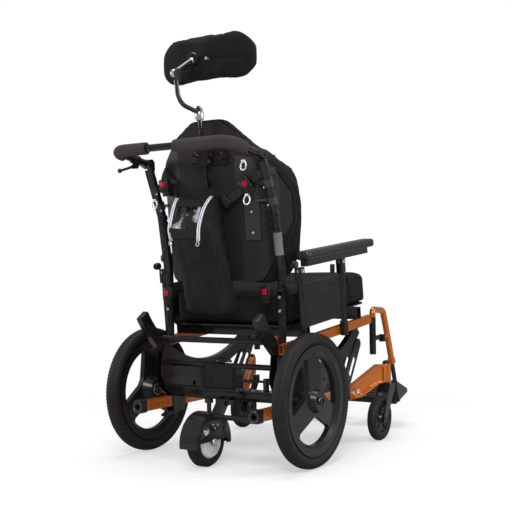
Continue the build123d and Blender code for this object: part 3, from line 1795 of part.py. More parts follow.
with BuildPart() as assist_arm:
    # the fender: a curved cover with a lip down each side of the tyre
    for low_x, high_x, inner in (
        (-lip_outer, lip_outer, fender_radius - fender_wall),
        (-lip_outer, -lip_inner, assist_radius - 4),
        (lip_inner, lip_outer, assist_radius - 4),
    ):
        with BuildSketch(side_view(assist_x + low_x)):
            with Locations((assist_y, assist_radius)):
                Circle(fender_radius)
                Circle(inner, mode=Mode.SUBTRACT)
            with Locations((assist_y, assist_radius - fender_radius + fender_open)):
                Rectangle(3 * fender_radius, 2 * fender_radius, mode=Mode.SUBTRACT)
        extrude(amount=high_x - low_x)
    # straps from the fender's lips to the axle
    for strap_side in (-1, 1):
        strap_x = assist_x + min(strap_side * lip_inner, strap_side * lip_outer)
        strap_turn = radians(strap_angle)
        strap_end = Vector(-cos(strap_turn), sin(strap_turn)) * (fender_radius - 10)
        with BuildSketch(side_view(strap_x)):
            with Locations((assist_y, assist_radius)):
                Circle(11)
            with Locations((assist_y + strap_end.X, assist_radius + strap_end.Y)):
                Circle(9)
            make_hull()
        extrude(amount=fender_wall)
    rod_between(
        (assist_x - lip_outer - 3, assist_y, assist_radius),
        (assist_x + lip_outer + 3, assist_y, assist_radius),
        assist_axle_radius,
    )
    # the arm to the pivot
    arm_run = Vector(pivot_y - assist_y, assist_pivot_z - assist_radius).normalized()
    arm_foot = Vector(assist_y, assist_radius) + arm_run * (fender_radius + 8)
    with BuildSketch(side_view(assist_x - assist_arm_width / 2)):
        with Locations((pivot_y, assist_pivot_z)):
            Circle(11)
        with Locations((arm_foot.X, arm_foot.Y)):
            Circle(11.5)
        make_hull()
        with Locations((pivot_y, assist_pivot_z)):
            Circle(assist_pin_radius + shaft_gap, mode=Mode.SUBTRACT)
    extrude(amount=assist_arm_width)
    # the strut towards the right rail, and a release knob on top
    rod_between(
        (assist_x - lip_inner - 1, behind(strut_behind), strut_z),
        (-inner_plate_x - 1, behind(strut_behind), strut_z),
        strut_radius,
    )
    knob_y = behind(knob_behind_axle)
    knob_top = (assist_x, knob_y, knob_top_z)
    rod_between((assist_x, knob_y, assist_radius + fender_radius - 8), knob_top, knob_stem_radius)
    rod_between((assist_x, knob_y, knob_top_z - knob_height), knob_top, knob_radius)
assist_arm.part.label = "assist_arm"
export_step(assist_arm.part, "parts/assist_arm.step")

half_width = assist_width / 2
with BuildPart() as assist_hub:
    turned(
        assist_centre,
        (1, 0, 0),
        [
            (-half_width, assist_axle_radius + shaft_gap),
            (-half_width, assist_hub_radius - hub_chamfer),
            (-half_width + hub_chamfer_depth, assist_hub_radius),
            (half_width - hub_chamfer_depth, assist_hub_radius),
            (half_width, assist_hub_radius - hub_chamfer),
            (half_width, assist_axle_radius + shaft_gap),
        ],
    )
assist_hub.part.label = "assist_hub"
export_step(assist_hub.part, "parts/assist_hub.step")

with BuildPart() as assist_tyre:
    tyre(assist_centre, assist_radius, assist_hub_radius + touch_gap, assist_width, assist_tread)
assist_tyre.part.label = "assist_tyre"
export_step(assist_tyre.part, "parts/assist_tyre.step")
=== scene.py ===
from contextlib import contextmanager
from functools import partial
from math import cos, exp, pi, radians, sin

import bmesh
import bpy
from mathutils import Matrix, Vector


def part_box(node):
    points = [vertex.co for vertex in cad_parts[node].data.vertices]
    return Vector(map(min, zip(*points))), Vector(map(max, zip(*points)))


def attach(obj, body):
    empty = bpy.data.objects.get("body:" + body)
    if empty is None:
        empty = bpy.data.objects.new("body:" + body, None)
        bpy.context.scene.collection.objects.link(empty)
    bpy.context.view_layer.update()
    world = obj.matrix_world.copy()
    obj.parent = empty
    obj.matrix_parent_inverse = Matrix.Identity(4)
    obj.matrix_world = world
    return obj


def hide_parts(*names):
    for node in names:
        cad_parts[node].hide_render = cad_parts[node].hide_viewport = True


bl_info = {
    "name": "Tilting wheelchair finish",
    "version": (1, 0, 0),
    "blender": (4, 5, 0),
    "location": "3D View > Sidebar > Wheelchair",
    "description": "Covers, finishes and small fittings for a tilt in space wheelchair",
    "category": "Object",
}

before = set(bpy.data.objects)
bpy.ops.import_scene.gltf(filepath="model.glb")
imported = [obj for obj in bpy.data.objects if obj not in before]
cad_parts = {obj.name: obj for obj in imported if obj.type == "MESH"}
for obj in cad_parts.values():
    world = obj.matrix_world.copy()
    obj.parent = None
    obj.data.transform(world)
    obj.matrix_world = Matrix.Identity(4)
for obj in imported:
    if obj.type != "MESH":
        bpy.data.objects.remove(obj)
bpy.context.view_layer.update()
SIDES = (("right", -1), ("left", 1))

# Places taken from the frame, in metres. The back stands square to the seat.
AXLE = (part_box("axle_bolts")[0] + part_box("axle_bolts")[1]) / 2
SEAT_ANGLE = radians(5.9)
SEAT_ALONG = Vector((0, -cos(SEAT_ANGLE), sin(SEAT_ANGLE)))
SEAT_UP = Vector((0, sin(SEAT_ANGLE), cos(SEAT_ANGLE)))


def behind(y, z, x=0.0):
    """A point given in millimetres behind the rear axle and above the floor."""
    return Vector((x / 1000, AXLE.y + y / 1000, z / 1000))


def on_seat(along, up, x=0.0):
    """A point along the seat rails from their rear end and square to them, in millimetres."""
    return behind(60, 356, x) + SEAT_ALONG * (along / 1000) + SEAT_UP * (up / 1000)


# ---------------------------------------------------------------- settings
def colour(name, description, default):
    """A colour among the settings."""
    return bpy.props.FloatVectorProperty(
        name=name, description=description, default=default, subtype="COLOR", size=3, min=0, max=1)


def length(name, description, default, low, high):
    """A length among the settings."""
    return bpy.props.FloatProperty(
        name=name, description=description, default=default, min=low, max=high, unit="LENGTH")


class WheelchairColours(bpy.types.PropertyGroup):
    orange: colour("Frame paint", "Metallic paint of the frame", (0.52, 0.128, 0.005))
    black_paint: colour("Black paint", "Coat of the plates and tubes", (0.0064, 0.0056, 0.0054))
    plastic: colour("Moulded plastic", "Shell, guards and fittings", (0.0076, 0.0067, 0.0064))
    rubber: colour("Tyre rubber", "All tyres", (0.0092, 0.0080, 0.0079))
    foam: colour("Grip foam", "Foam of the push bar's grips", (0.040, 0.034, 0.032))
    # A lighter copy of this tone on the seat cushion is painted light.
    cover: colour("Cover cloth", "Seat and back covers", (0.0074, 0.0068, 0.0066))
    wheel: colour("Wheel plastic", "Moulded rear wheels", (0.010, 0.0095, 0.0092))
    bag: colour("Bag cloth", "Backpack cloth", (0.0092, 0.0080, 0.0076))
    # Made lighter, this tone is also painted on the bag's window as reflections.
    trim: colour("Reflective trim", "Zips and window of the bag", (0.50, 0.49, 0.56))
    button: colour("Release buttons", "Buttons of the harness buckles", (0.40, 0.0, 0.035))
    steel: colour("Bright steel", "Axle ends, rods and the hub disc", (0.62, 0.62, 0.63))


class WheelchairSizes(bpy.types.PropertyGroup):
    piping: length("Piping", "Thickness of the covers' piping", 0.004, 0.001, 0.01)
    voxel: length("Cloth mesh", "Mesh size of the padded covers", 0.0065, 0.004, 0.02)
    swell: length("Swell", "How far a padded cover may swell", 0.009, 0.0, 0.02)


def colours():
    return bpy.context.scene.wheelchair_colours


def sizes():
    return bpy.context.scene.wheelchair_sizes


# ---------------------------------------------------------------- shader groups and finishes
def wire(tree, node, inputs):
    """Link outputs to a node's inputs, or set the inputs' values, by name or number."""
    for label, value in inputs.items():
        if isinstance(value, bpy.types.NodeSocket):
            tree.links.new(value, node.inputs[label])
        else:
            node.inputs[label].default_value = value
    return node


def add_node(tree, kind, inputs):
    return wire(tree, tree.nodes.new("ShaderNode" + kind), inputs)


def math_node(tree, operation, *values):
    node = tree.nodes.new("ShaderNodeMath")
    node.operation = operation
    return wire(tree, node, dict(enumerate(values))).outputs[0]


def weighted(tree, *terms):
    """The sum of two outputs, each times its factor."""
    return math_node(tree, "ADD", *(math_node(tree, "MULTIPLY", *term) for term in terms))


def noise_node(tree, vector, scale, detail):
    inputs = {"Vector": vector, "Scale": scale, "Detail": detail}
    return add_node(tree, "TexNoise", inputs).outputs["Fac"]


def new_group(name, *values):
    """An empty shader group: it takes a vector and values, and gives a height and a shade."""
    group = bpy.data.node_groups.new(name, "ShaderNodeTree")
    for label, end, kind in (
        ("Vector", "INPUT", "Vector"), *((label, "INPUT", "Float") for label in values),
        ("Height", "OUTPUT", "Float"), ("Shade", "OUTPUT", "Float"),
    ):
        group.interface.new_socket(name=label, in_out=end, socket_type="NodeSocket" + kind)
    return group, group.nodes.new("NodeGroupInput").outputs, group.nodes.new("NodeGroupOutput")


def grain_group():
    """Fine grain with broad, soft patches of wear; scaled up on the bag's window, the same patches
    are painted reflections.
    """
    group, start, end = new_group(GRAIN, "Scale")
    fine = noise_node(group, start["Vector"], start["Scale"], 2.0)
    broad = noise_node(group, start["Vector"], 9.0, 4.0)
    wire(group, end, {"Height": weighted(group, (fine, 1.0), (broad, 0.25)),
                      "Shade": weighted(group, (broad, 0.7), (fine, 0.3))})


def weave_group():
    """Plain weave: two crossed sets of threads, one over the other, with slubs."""
    group, start, end = new_group(WEAVE, "Scale")
    calc = partial(math_node, group)
    x, y, z = add_node(group, "SeparateXYZ", {0: start["Vector"]}).outputs
    across = weighted(group, (x, 1.0), (y, 0.6))
    upward = weighted(group, (z, 1.0), (y, 0.7))
    warp, weft = (calc("SINE", calc("MULTIPLY", way, start["Scale"])) for way in (across, upward))
    crossed = calc("MULTIPLY", warp, weft)
    slub = noise_node(group, start["Vector"], 35.0, 3.0)
    wire(group, end, {"Height": weighted(group, (crossed, 1.0), (slub, 0.8)),
                      "Shade": weighted(group, (crossed, 0.18), (slub, 0.9))})


def tread_group():
    """Cross cuts round a tyre's tread, beyond its shoulder, about the x axis."""
    group, start, end = new_group(TREAD, "Scale", "Shoulder")
    calc = partial(math_node, group)
    x, y, z = add_node(group, "SeparateXYZ", {0: start["Vector"]}).outputs
    slanted = calc("ADD", calc("ARCTAN2", y, z), calc("MULTIPLY", calc("ABSOLUTE", x), 1.2))
    ribs = calc("SINE", calc("MULTIPLY", slanted, start["Scale"]))
    out = calc("SQRT", calc("ADD", calc("POWER", y, 2.0), calc("POWER", z, 2.0)))
    cut = calc("MULTIPLY", calc("GREATER_THAN", ribs, -0.3),
               calc("GREATER_THAN", out, start["Shoulder"]))
    dust = noise_node(group, start["Vector"], 60.0, 4.0)
    wire(group, end, {"Height": weighted(group, (cut, 1.0), (dust, 0.3)), "Shade": dust})


def tone(given):
    """A colour from its own three values, or from a setting's name and a factor."""
    if len(given) == 3:
        return given
    name, factor = given
    return [min(1.0, value * factor) for value in getattr(colours(), name)]


def make_material(name, dark, light, rough, group, scale, bump, depth,
                  metallic=0.0, centre=None, shoulder=None, sockets=None, edges=(0.25, 0.8)):
    """One finish: two close tones and two roughness values mixed by a group's shade."""
    material = bpy.data.materials.new(name)
    material.use_nodes = True
    tree = material.node_tree
    place = add_node(tree, "TexCoord", {}).outputs["Object"]
    if centre is not None:
        place = add_node(tree, "Mapping", {"Vector": place, "Location": -centre}).outputs["Vector"]
    effect = tree.nodes.new("ShaderNodeGroup")
    effect.node_tree = bpy.data.node_groups[group]
    wire(tree, effect, {"Vector": place, "Scale": scale})
    if shoulder is not None:
        wire(tree, effect, {"Shoulder": shoulder})
    shade = effect.outputs["Shade"]
    ramp = add_node(tree, "ValToRGB", {"Fac": shade})
    for element, position, given in zip(ramp.color_ramp.elements, edges, (dark, light)):
        element.position = position
        element.color = (*tone(given), 1)
    spread = add_node(tree, "MapRange", {"Value": shade, "To Min": rough[0], "To Max": rough[1]})
    relief = add_node(tree, "Bump", {"Strength": bump, "Distance": depth,
                                     "Height": effect.outputs["Height"]})
    wire(tree, tree.nodes["Principled BSDF"], {
        "Base Color": ramp.outputs["Color"], "Roughness": spread.outputs["Result"],
        "Normal": relief.outputs["Normal"], "Metallic": metallic,
        "Specular IOR Level": 0.22 if metallic < 0.3 else 0.5, **(sockets or {})})
    MATERIALS[name] = material


MATERIALS = {}
GRAIN, WEAVE, TREAD = "fine_grain", "plain_weave", "tyre_tread"
PLAIN = {"Specular IOR Level": 0.24, "Coat Weight": 0.25, "Coat Roughness": 0.18}
GLOSS = {"Specular IOR Level": 0.24, "Coat Weight": 0.6, "Coat Roughness": 0.09}
CLOTH = {"Specular IOR Level": 0.08, "Sheen Weight": 0.02, "Sheen Roughness": 0.5}

# Every finish: name, dark and light tone (a colour, or a setting and a factor), least and most
# roughness, shader group, its scale, the bump's strength and depth, and what else it sets.
FINISHES = (
    ("orange_paint", ("orange", 0.88), ("orange", 1.12), (0.20, 0.32), GRAIN, 1500, 0.05, 0.0004,
     {"metallic": 0.5, "sockets": {"Coat Weight": 0.6, "Coat Roughness": 0.07}}),
    ("black_coat", ("black_paint", 1), ("black_paint", 1.7), (0.20, 0.34),
     GRAIN, 1400, 0.06, 0.0002, {"sockets": GLOSS}),
    ("cast_black", ("black_paint", 1.1), ("black_paint", 2.0), (0.34, 0.52),
     GRAIN, 700, 0.18, 0.0005, {"sockets": PLAIN}),
    ("satin_black", ("black_paint", 1.3), ("black_paint", 2.2), (0.18, 0.32),
     GRAIN, 900, 0.06, 0.0002, {"sockets": GLOSS}),
    ("moulded_black", ("plastic", 1), ("plastic", 1.8), (0.28, 0.42),
     GRAIN, 900, 0.12, 0.0003, {"sockets": PLAIN}),
    ("wheel_plastic", ("wheel", 0.85), ("wheel", 1.3), (0.26, 0.38),
     GRAIN, 800, 0.10, 0.0003, {"sockets": PLAIN}),
    ("shell_plastic", ("plastic", 1.5), ("plastic", 2.2), (0.42, 0.56),
     GRAIN, 500, 0.10, 0.0003, {}),
    ("bracket_grey", (0.026, 0.025, 0.025), (0.046, 0.045, 0.045), (0.30, 0.44),
     GRAIN, 1200, 0.08, 0.0003, {"metallic": 0.3}),
    ("foam_grip", ("foam", 0.75), ("foam", 1.2), (0.82, 0.96),
     GRAIN, 420, 0.40, 0.0008, {"sockets": {"Specular IOR Level": 0.2}}),
    ("cover_cloth", ("cover", 1), ("cover", 1.9), (0.70, 0.88),
     WEAVE, 3000, 0.30, 0.0005, {"sockets": CLOTH}),
    # A lighter copy of the cover cloth: painted light that stands for the lamps' light falling on
    # the seat cushion's top.
    ("top_cloth", ("cover", 1.2), ("cover", 2.2), (0.70, 0.88),
     WEAVE, 2400, 0.35, 0.0006, {"sockets": CLOTH}),
    ("bag_cloth", ("bag", 1), ("bag", 2.0), (0.62, 0.84),
     WEAVE, 2600, 0.40, 0.0006, {"sockets": CLOTH}),
    ("bag_panel", ("bag", 1.3), ("bag", 2.2), (0.60, 0.80),
     WEAVE, 2600, 0.40, 0.0006, {"sockets": CLOTH}),
    ("reflective_trim", ("trim", 1.15), ("trim", 1.5), (0.35, 0.55),
     WEAVE, 4200, 0.30, 0.0004, {}),
    # The window's light smears are painted reflections: coarse noise splits it sharply into black
    # and a lightened trim tone.
    ("clear_window", (0.005, 0.005, 0.006), ("trim", 1.3), (0.05, 0.20), GRAIN, 26, 0.6, 0.006,
     {"edges": (0.50, 0.60), "sockets": {"Coat Weight": 0.9, "Coat Roughness": 0.04}}),
    ("webbing", (0.008, 0.008, 0.009), (0.020, 0.020, 0.021), (0.50, 0.70),
     WEAVE, 3600, 0.50, 0.0006, {}),
    ("arm_skin", (0.012, 0.012, 0.012), (0.024, 0.024, 0.024), (0.34, 0.48),
     GRAIN, 520, 0.08, 0.0003, {"sockets": PLAIN}),
    ("bright_metal", ("steel", 0.9), ("steel", 1.1), (0.12, 0.24),
     GRAIN, 800, 0.04, 0.0002, {"metallic": 0.75}),
    ("bronze_metal", (0.022, 0.021, 0.020), (0.046, 0.044, 0.042), (0.12, 0.22), GRAIN, 800, 0.04,
     0.0002, {"metallic": 0.3, "sockets": {"Coat Weight": 0.6, "Coat Roughness": 0.06}}),
    ("dark_chrome", (0.10, 0.10, 0.10), (0.16, 0.16, 0.16), (0.08, 0.16),
     GRAIN, 800, 0.03, 0.0002, {"metallic": 1.0}),
    ("silver_disc", ("steel", 1.25), ("steel", 1.5), (0.22, 0.34),
     GRAIN, 900, 0.06, 0.0003, {"metallic": 0.4}),
    ("release_button", ("button", 0.85), ("button", 1.25), (0.26, 0.38),
     GRAIN, 900, 0.05, 0.0002, {}),
    ("label_film", (0.10, 0.10, 0.105), (0.17, 0.17, 0.175), (0.28, 0.42),
     GRAIN, 300, 0.05, 0.0002, {}),
)

# Each tyre, with the cuts round its tread, their depth and the shoulder where they start.
TYRES = (
    ("rear_tyre_left", 96.0, 0.0012, 0.197), ("rear_tyre_right", 96.0, 0.0012, 0.197),
    ("caster_tyre_left", 60.0, 0.0003, 0.072), ("caster_tyre_right", 60.0, 0.0003, 0.072),
    ("assist_tyre", 60.0, 0.0005, 0.073),
)

# The frame's own nodes under each finish, and those under covers. A node of the left or right
# side goes by its name without the side.
NODE_FINISH = {
    "orange_paint": "base_rails seat_rails hanger caster_arms",
    "black_coat": "rockers side_plates tilt_crossbar axle_crossmember seat_crossbar back_canes "
                  "push_bar armrest_frame footrest_tube release_rod seat_pan caster_fork "
                  "control_cables post_sockets hanger_receivers headrest_clamp wheel_lock",
    "cast_black": "lock_housing headrest_link",
    "satin_black": "assist_arm",
    "moulded_black": "caster_wheel rail_end_caps side_guard footplate front_rollers "
                     "rear_rollers brake_lever harness_buckles",
    "wheel_plastic": "rear_wheel",
    "shell_plastic": "back_shell",
    "bracket_grey": "shell_brackets",
    "bronze_metal": "headrest_arm axle_bolts",
    "dark_chrome": "headrest_rod",
    "silver_disc": "assist_hub",
}
SOFT_NODES = "seat_cushion back_cushion backpack headrest_pad foam_grips arm_pad"


# ---------------------------------------------------------------- modelling helpers
def deselect():
    if bpy.context.mode != "OBJECT":
        bpy.ops.object.mode_set(mode="OBJECT")
    bpy.ops.object.select_all(action="DESELECT")


def activate(obj):
    deselect()
    obj.select_set(True)
    bpy.context.view_layer.objects.active = obj
    return obj


def active():
    return bpy.context.view_layer.objects.active


@contextmanager
def editing(obj):
    """Edit mode with all of a mesh selected, for the length of a with block."""
    activate(obj)
    bpy.ops.object.mode_set(mode="EDIT")
    bpy.ops.mesh.select_all(action="SELECT")
    yield
    bpy.ops.object.mode_set(mode="OBJECT")


def face_outward(obj):
    with editing(obj):
        bpy.ops.mesh.normals_make_consistent(inside=False)


def settle(obj):
    """Put the object's place and turn into its mesh."""
    activate(obj)
    bpy.ops.object.transform_apply(location=True, rotation=True, scale=True)
    return obj


def modify(obj, kind, **settings):
    """Add a modifier, set it and apply it."""
    activate(obj)
    modifier = obj.modifiers.new(kind, kind)
    for key, value in settings.items():
        setattr(modifier, key, value)
    bpy.ops.object.modifier_apply(modifier=modifier.name)
    return obj


def ease(obj, width, segments=2):
    """Round a piece's sharp edges."""
    return modify(obj, "BEVEL", width=width, segments=segments, limit_method="ANGLE")


def smooth(obj, angle=38):
    activate(obj)
    bpy.ops.object.shade_smooth_by_angle(angle=radians(angle))
    return obj


def new_object(name, data):
    obj = bpy.data.objects.new(name, data)
    bpy.context.scene.collection.objects.link(obj)
    return obj


def dress(obj, name, material, body):
    """Name a finished piece, give it its finish and fix it to its body."""
    obj.name = name
    obj.data.name = name
    obj.data.materials.clear()
    obj.data.materials.append(MATERIALS[material])
    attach(obj, body)
    return obj


def dress_cover(obj, node, name, material, body):
    """Smooth and dress a stuffed piece that stands in a plain solid's place."""
    smooth(obj, 60)
    dress(obj, name, material, body)
    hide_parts(node)


def copy_node(node):
    """A merged copy of a CAD node's mesh, to shape further."""
    obj = new_object(node + "_copy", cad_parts[node].data.copy())
    obj.data.materials.clear()
    with editing(obj):
        bpy.ops.mesh.remove_doubles(threshold=0.00002)
    return obj


def swell(obj, pressure, cap, frames=20):
    """Fill a closed cover with air, and keep every point within the cap."""
    before = [v.co.copy() for v in obj.data.vertices]
    activate(obj)
    cloth = obj.modifiers.new("Cover", "CLOTH")
    cloth.settings.quality = 5
    cloth.settings.mass = 0.25
    cloth.settings.use_pressure = True
    cloth.settings.uniform_pressure_force = pressure
    cloth.settings.effector_weights.gravity = 0
    cloth.point_cache.frame_start = 1
    cloth.point_cache.frame_end = frames
    for step in range(1, frames + 1):
        bpy.context.scene.frame_set(step)
    shaped = obj.evaluated_get(bpy.context.evaluated_depsgraph_get()).data
    after = [v.co.copy() for v in shaped.vertices]
    obj.modifiers.remove(cloth)
    bpy.context.scene.frame_set(1)
    for vertex, old, new in zip(obj.data.vertices, before, after):
        move = new - old
        if move.length > cap:
            move = move.normalized() * cap
        vertex.co = old + move


def padded_cover(node, inset, pressure, cap, voxel, smoothing=6):
    """A stuffed cover in a plain solid's place: drawn in, remeshed, filled and smoothed."""
    obj = copy_node(node)
    face_outward(obj)
    modify(obj, "REMESH", mode="VOXEL", voxel_size=voxel)
    modify(obj, "SMOOTH", factor=0.5, iterations=smoothing)
    modify(obj, "DISPLACE", strength=-inset, mid_level=0.0)
    swell(obj, pressure, cap)
    return modify(obj, "SMOOTH", factor=0.5, iterations=2)


def softened(node, voxel, smoothing):
    """A copy of a plain solid with its edges rounded off."""
    obj = modify(copy_node(node), "REMESH", mode="VOXEL", voxel_size=voxel)
    return modify(obj, "SMOOTH", factor=0.5, iterations=smoothing)


def seam(point, direction, faces):
    """A seam's distance function: from a plane through a point, on faces that pass a test."""
    return lambda place, normal: (place - point).dot(direction) if faces(normal) else None


def press_seams(obj, seams):
    """Pull a cover in along its seams. Each seam is (distance function, width, depth)."""
    mesh = obj.data
    normals = [v.normal.copy() for v in mesh.vertices]
    for vertex, normal in zip(mesh.vertices, normals):
        for distance, width, depth in seams:
            gap = distance(vertex.co, normal)
            if gap is not None and abs(gap) < 4 * width:
                vertex.co -= normal * depth * exp(-((gap / width) ** 2))
    mesh.update()


def tube(points, radius, closed=False):
    """A round cord or piping as a mesh, along points."""
    curve = bpy.data.curves.new("run", "CURVE")
    curve.dimensions = "3D"
    curve.bevel_depth = radius
    curve.bevel_resolution = 3
    curve.use_fill_caps = True
    spline = curve.splines.new("NURBS")
    spline.points.add(len(points) - 1)
    for point, place in zip(spline.points, points):
        point.co = (*place, 1)
    spline.use_cyclic_u = closed
    spline.order_u = 3
    spline.use_endpoint_u = not closed
    spline.resolution_u = 6
    activate(new_object("run", curve))
    bpy.ops.object.convert(target="MESH")
    return smooth(active(), 50)


def slab(place, size, along=(1, 0, 0), up=(0, 0, 1), bevel=0.001, segments=3):
    """A small block, centred on a place, its x along one direction and its z up another."""
    deselect()
    x = Vector(along).normalized()
    z = Vector(up).normalized()
    y = z.cross(x).normalized()
    turn = Matrix.Translation(Vector(place)) @ axes(x, y, x.cross(y))
    bpy.ops.mesh.primitive_cube_add(size=1)
    obj = active()
    obj.data.transform(turn @ Matrix.Diagonal((*size, 1)))
    return smooth(ease(obj, bevel, segments))


def join(objects):
    """One piece from several meshes."""
    deselect()
    for obj in objects:
        obj.select_set(True)
    bpy.context.view_layer.objects.active = objects[0]
    if len(objects) > 1:
        bpy.ops.object.join()
    return active()


def evened(points, rounds=3):
    """A run of points with its small steps averaged out, the ends kept."""
    for _ in range(rounds):
        between = [(a + b * 2 + c) / 4 for a, b, c in zip(points, points[1:], points[2:])]
        points = [points[0], *between, points[-1]]
    return points


def half_width(outline, z):
    """How far a right half's (x, z) outline, listed upward, reaches out at a height, in mm."""
    for (x0, z0), (x1, z1) in zip(outline, outline[1:]):
        if z0 <= z <= z1 and z1 > z0:
            return x0 + (x1 - x0) * (z - z0) / (z1 - z0)
    return outline[0][0] if z < outline[0][1] else outline[-1][0]


def cornered(outline, rounds=4):
    """An open outline with its corners cut again and again into a smooth curve."""
    for _ in range(rounds):
        cut = [outline[0]]
        for (x0, z0), (x1, z1) in zip(outline, outline[1:]):
            cut += [(0.75 * x0 + 0.25 * x1, 0.75 * z0 + 0.25 * z1),
                    (0.25 * x0 + 0.75 * x1, 0.25 * z0 + 0.75 * z1)]
        outline = cut + [outline[-1]]
    return outline


def flat_strap(points, width, thickness, across):
    """A woven strap: a run of square sections along points, its width along a direction."""
    build = bmesh.new()
    across = Vector(across).normalized()
    rings = []
    for index, place in enumerate(points):
        ahead = points[min(index + 1, len(points) - 1)]
        run = (ahead - points[max(index - 1, 0)]).normalized()
        side = (across - run * across.dot(run)).normalized()
        face = run.cross(side)
        rings.append([
            build.verts.new(place + side * (width / 2 * u) + face * (thickness / 2 * v))
            for u, v in ((-1, -1), (1, -1), (1, 1), (-1, 1))
        ])
    for low, high in zip(rings, rings[1:]):
        for k in range(4):
            build.faces.new((low[k], low[(k + 1) % 4], high[(k + 1) % 4], high[k]))
    build.faces.new(reversed(rings[0]))
    build.faces.new(rings[-1])
    bmesh.ops.recalc_face_normals(build, faces=build.faces)
    return smooth(ease(meshed(build, "strap"), thickness * 0.3))


def meshed(build, name):
    """The object of a mesh that was built in memory."""
    mesh = bpy.data.meshes.new(name)
    build.to_mesh(mesh)
    build.free()
    return new_object(name, mesh)


# Where rays that look for a face start, in millimetres behind the axle, and their way.
REAR_FACE, FRONT_FACE = (700, -1), (-1200, 1)


def on_face(obj, places, lift, face=REAR_FACE):
    """Points on a piece's face, for (x, z) places in millimetres, raised off it by a little."""
    start, way = face
    found = []
    for x, z in places:
        hit, place, normal, _ = obj.ray_cast(behind(start, z, x), Vector((0, way, 0)))
        if hit:
            found.append(place + normal * lift)
    return found


def divided(places, step=14.0, closed=False):
    """More places along straight runs between given ones, a step apart in millimetres."""
    stops = [*places, places[0]] if closed else places
    dense = []
    for first, last in zip(stops, stops[1:]):
        gap = sum((b - a) ** 2 for a, b in zip(first, last)) ** 0.5
        count = max(1, int(gap / step))
        dense += [tuple(a + (b - a) * (k / count) for a, b in zip(first, last))
                  for k in range(count)]
    return dense if closed else dense + [tuple(places[-1])]


def mirrored(places):
    """A right half's (x, z) outline with its mirror image, as one closed ring."""
    return list(places) + [(-x, z) for x, z in reversed(places)]


def pick_faces(obj, wanted):
    """Go to edit mode with the faces selected whose centre and normal pass a test."""
    activate(obj)
    bpy.ops.object.mode_set(mode="EDIT")
    bpy.ops.mesh.select_mode(type="FACE")
    bpy.ops.mesh.select_all(action="DESELECT")
    build = bmesh.from_edit_mesh(obj.data)
    for face in build.faces:
        face.select_set(wanted(face.calc_center_median(), face.normal))
    bmesh.update_edit_mesh(obj.data)


def axes(x, y, z):
    """The turn that takes the three axes to given directions."""
    return Matrix((x, y, z)).transposed().to_4x4()


def facing(place, direction):
    """The transform that stands a piece modelled up z on a place, facing a direction."""
    turn = Vector(direction).to_track_quat("Z", "Y").to_matrix().to_4x4()
    return Matrix.Translation(Vector(place)) @ turn


def copies(pattern, turns):
    """One piece made of copies of a small one, each under its own transform."""
    build = bmesh.new()
    for turn in turns:
        mesh = pattern.data.copy()
        mesh.transform(turn)
        build.from_mesh(mesh)
        bpy.data.meshes.remove(mesh)
    bpy.data.objects.remove(pattern)
    return smooth(meshed(build, "copies"))


def lathe(profile, place=(0, 0, 0), direction=(0, 0, 1), steps=36, closed=False):
    """A turned piece: (radius, height) points in millimetres, spun about a line from a place."""
    ends = range(len(profile) if closed else len(profile) - 1)
    mesh = bpy.data.meshes.new("turned")
    mesh.from_pydata([(radius / 1000, 0, height / 1000) for radius, height in profile],
                     [(k, (k + 1) % len(profile)) for k in ends], [])
    obj = new_object("turned", mesh)
    with editing(obj):
        bpy.ops.mesh.spin(steps=steps, angle=2 * pi, center=(0, 0, 0), axis=(0, 0, 1))
        bpy.ops.mesh.select_all(action="SELECT")
        bpy.ops.mesh.remove_doubles(threshold=0.00001)
        bpy.ops.mesh.normals_make_consistent(inside=False)
    obj.data.transform(facing(place, direction))
    return smooth(obj, 35)


def turned(name, material, body, profiles, place, direction, slot=None, **more):
    """A dressed piece of one or more turned profiles on one line."""
    piece = join([lathe(profile, place, direction, **more) for profile in profiles])
    return dress(piece, name, material, body)


def rounded(radius, low, high, edge=1.0, bore=0.0):
    """The profile of a turned collar or plug with rounded edges, bored or solid."""
    return [(bore, low), (radius - edge, low), (radius, low + edge), (radius, high - edge),
            (radius - edge, high), (bore, high)]


def ball(radius, middle, steps=12):
    """The profile of a ball at a height."""
    return [(radius * sin(pi * k / steps), middle - radius * cos(pi * k / steps))
            for k in range(steps + 1)]


def ring(place, direction, radius, thickness):
    """A round wire ring about a direction."""
    deselect()
    bpy.ops.mesh.primitive_torus_add(
        major_segments=40, minor_segments=10, major_radius=radius, minor_radius=thickness,
        location=place, rotation=Vector(direction).to_track_quat("Z", "Y").to_euler())
    return smooth(settle(active()))


def cylinder(vertices, radius, depth, centre, **more):
    deselect()
    bpy.ops.mesh.primitive_cylinder_add(vertices=vertices, radius=radius, depth=depth,
                                        location=centre, **more)
    return settle(active())


def bolt(radius, height):
    """A round bolt head at the origin, up the z axis, with a sunk socket, in metres."""
    obj = cylinder(18, radius, height, (0, 0, height / 2))
    pick_faces(obj, lambda centre, normal: normal.z > 0.9)
    bpy.ops.mesh.inset(thickness=radius * 0.45)
    bpy.ops.mesh.extrude_region_move(TRANSFORM_OT_translate={"value": (0, 0, -height * 0.55)})
    bpy.ops.object.mode_set(mode="OBJECT")
    return smooth(ease(obj, height * 0.18))


def land(node, start, direction):
    """Where a straight line first meets a part of the frame, and the outward direction there."""
    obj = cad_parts[node]
    inward = obj.matrix_world.inverted()
    hit, place, normal, _ = obj.ray_cast(
        inward @ Vector(start), (inward.to_3x3() @ Vector(direction)).normalized())
    if not hit:
        raise RuntimeError("a line misses " + node)
    return obj.matrix_world @ place, (obj.matrix_world.to_3x3() @ normal).normalized()


def landed_bolts(node, starts, toward, radius, height, sunk):
    """Bolt heads where straight lines first meet a part of the frame, sunk in a little."""
    turns = []
    for start in starts:
        place, out = land(node, start, toward)
        turns.append(facing(place - out * sunk, out))
    return copies(bolt(radius, height), turns)


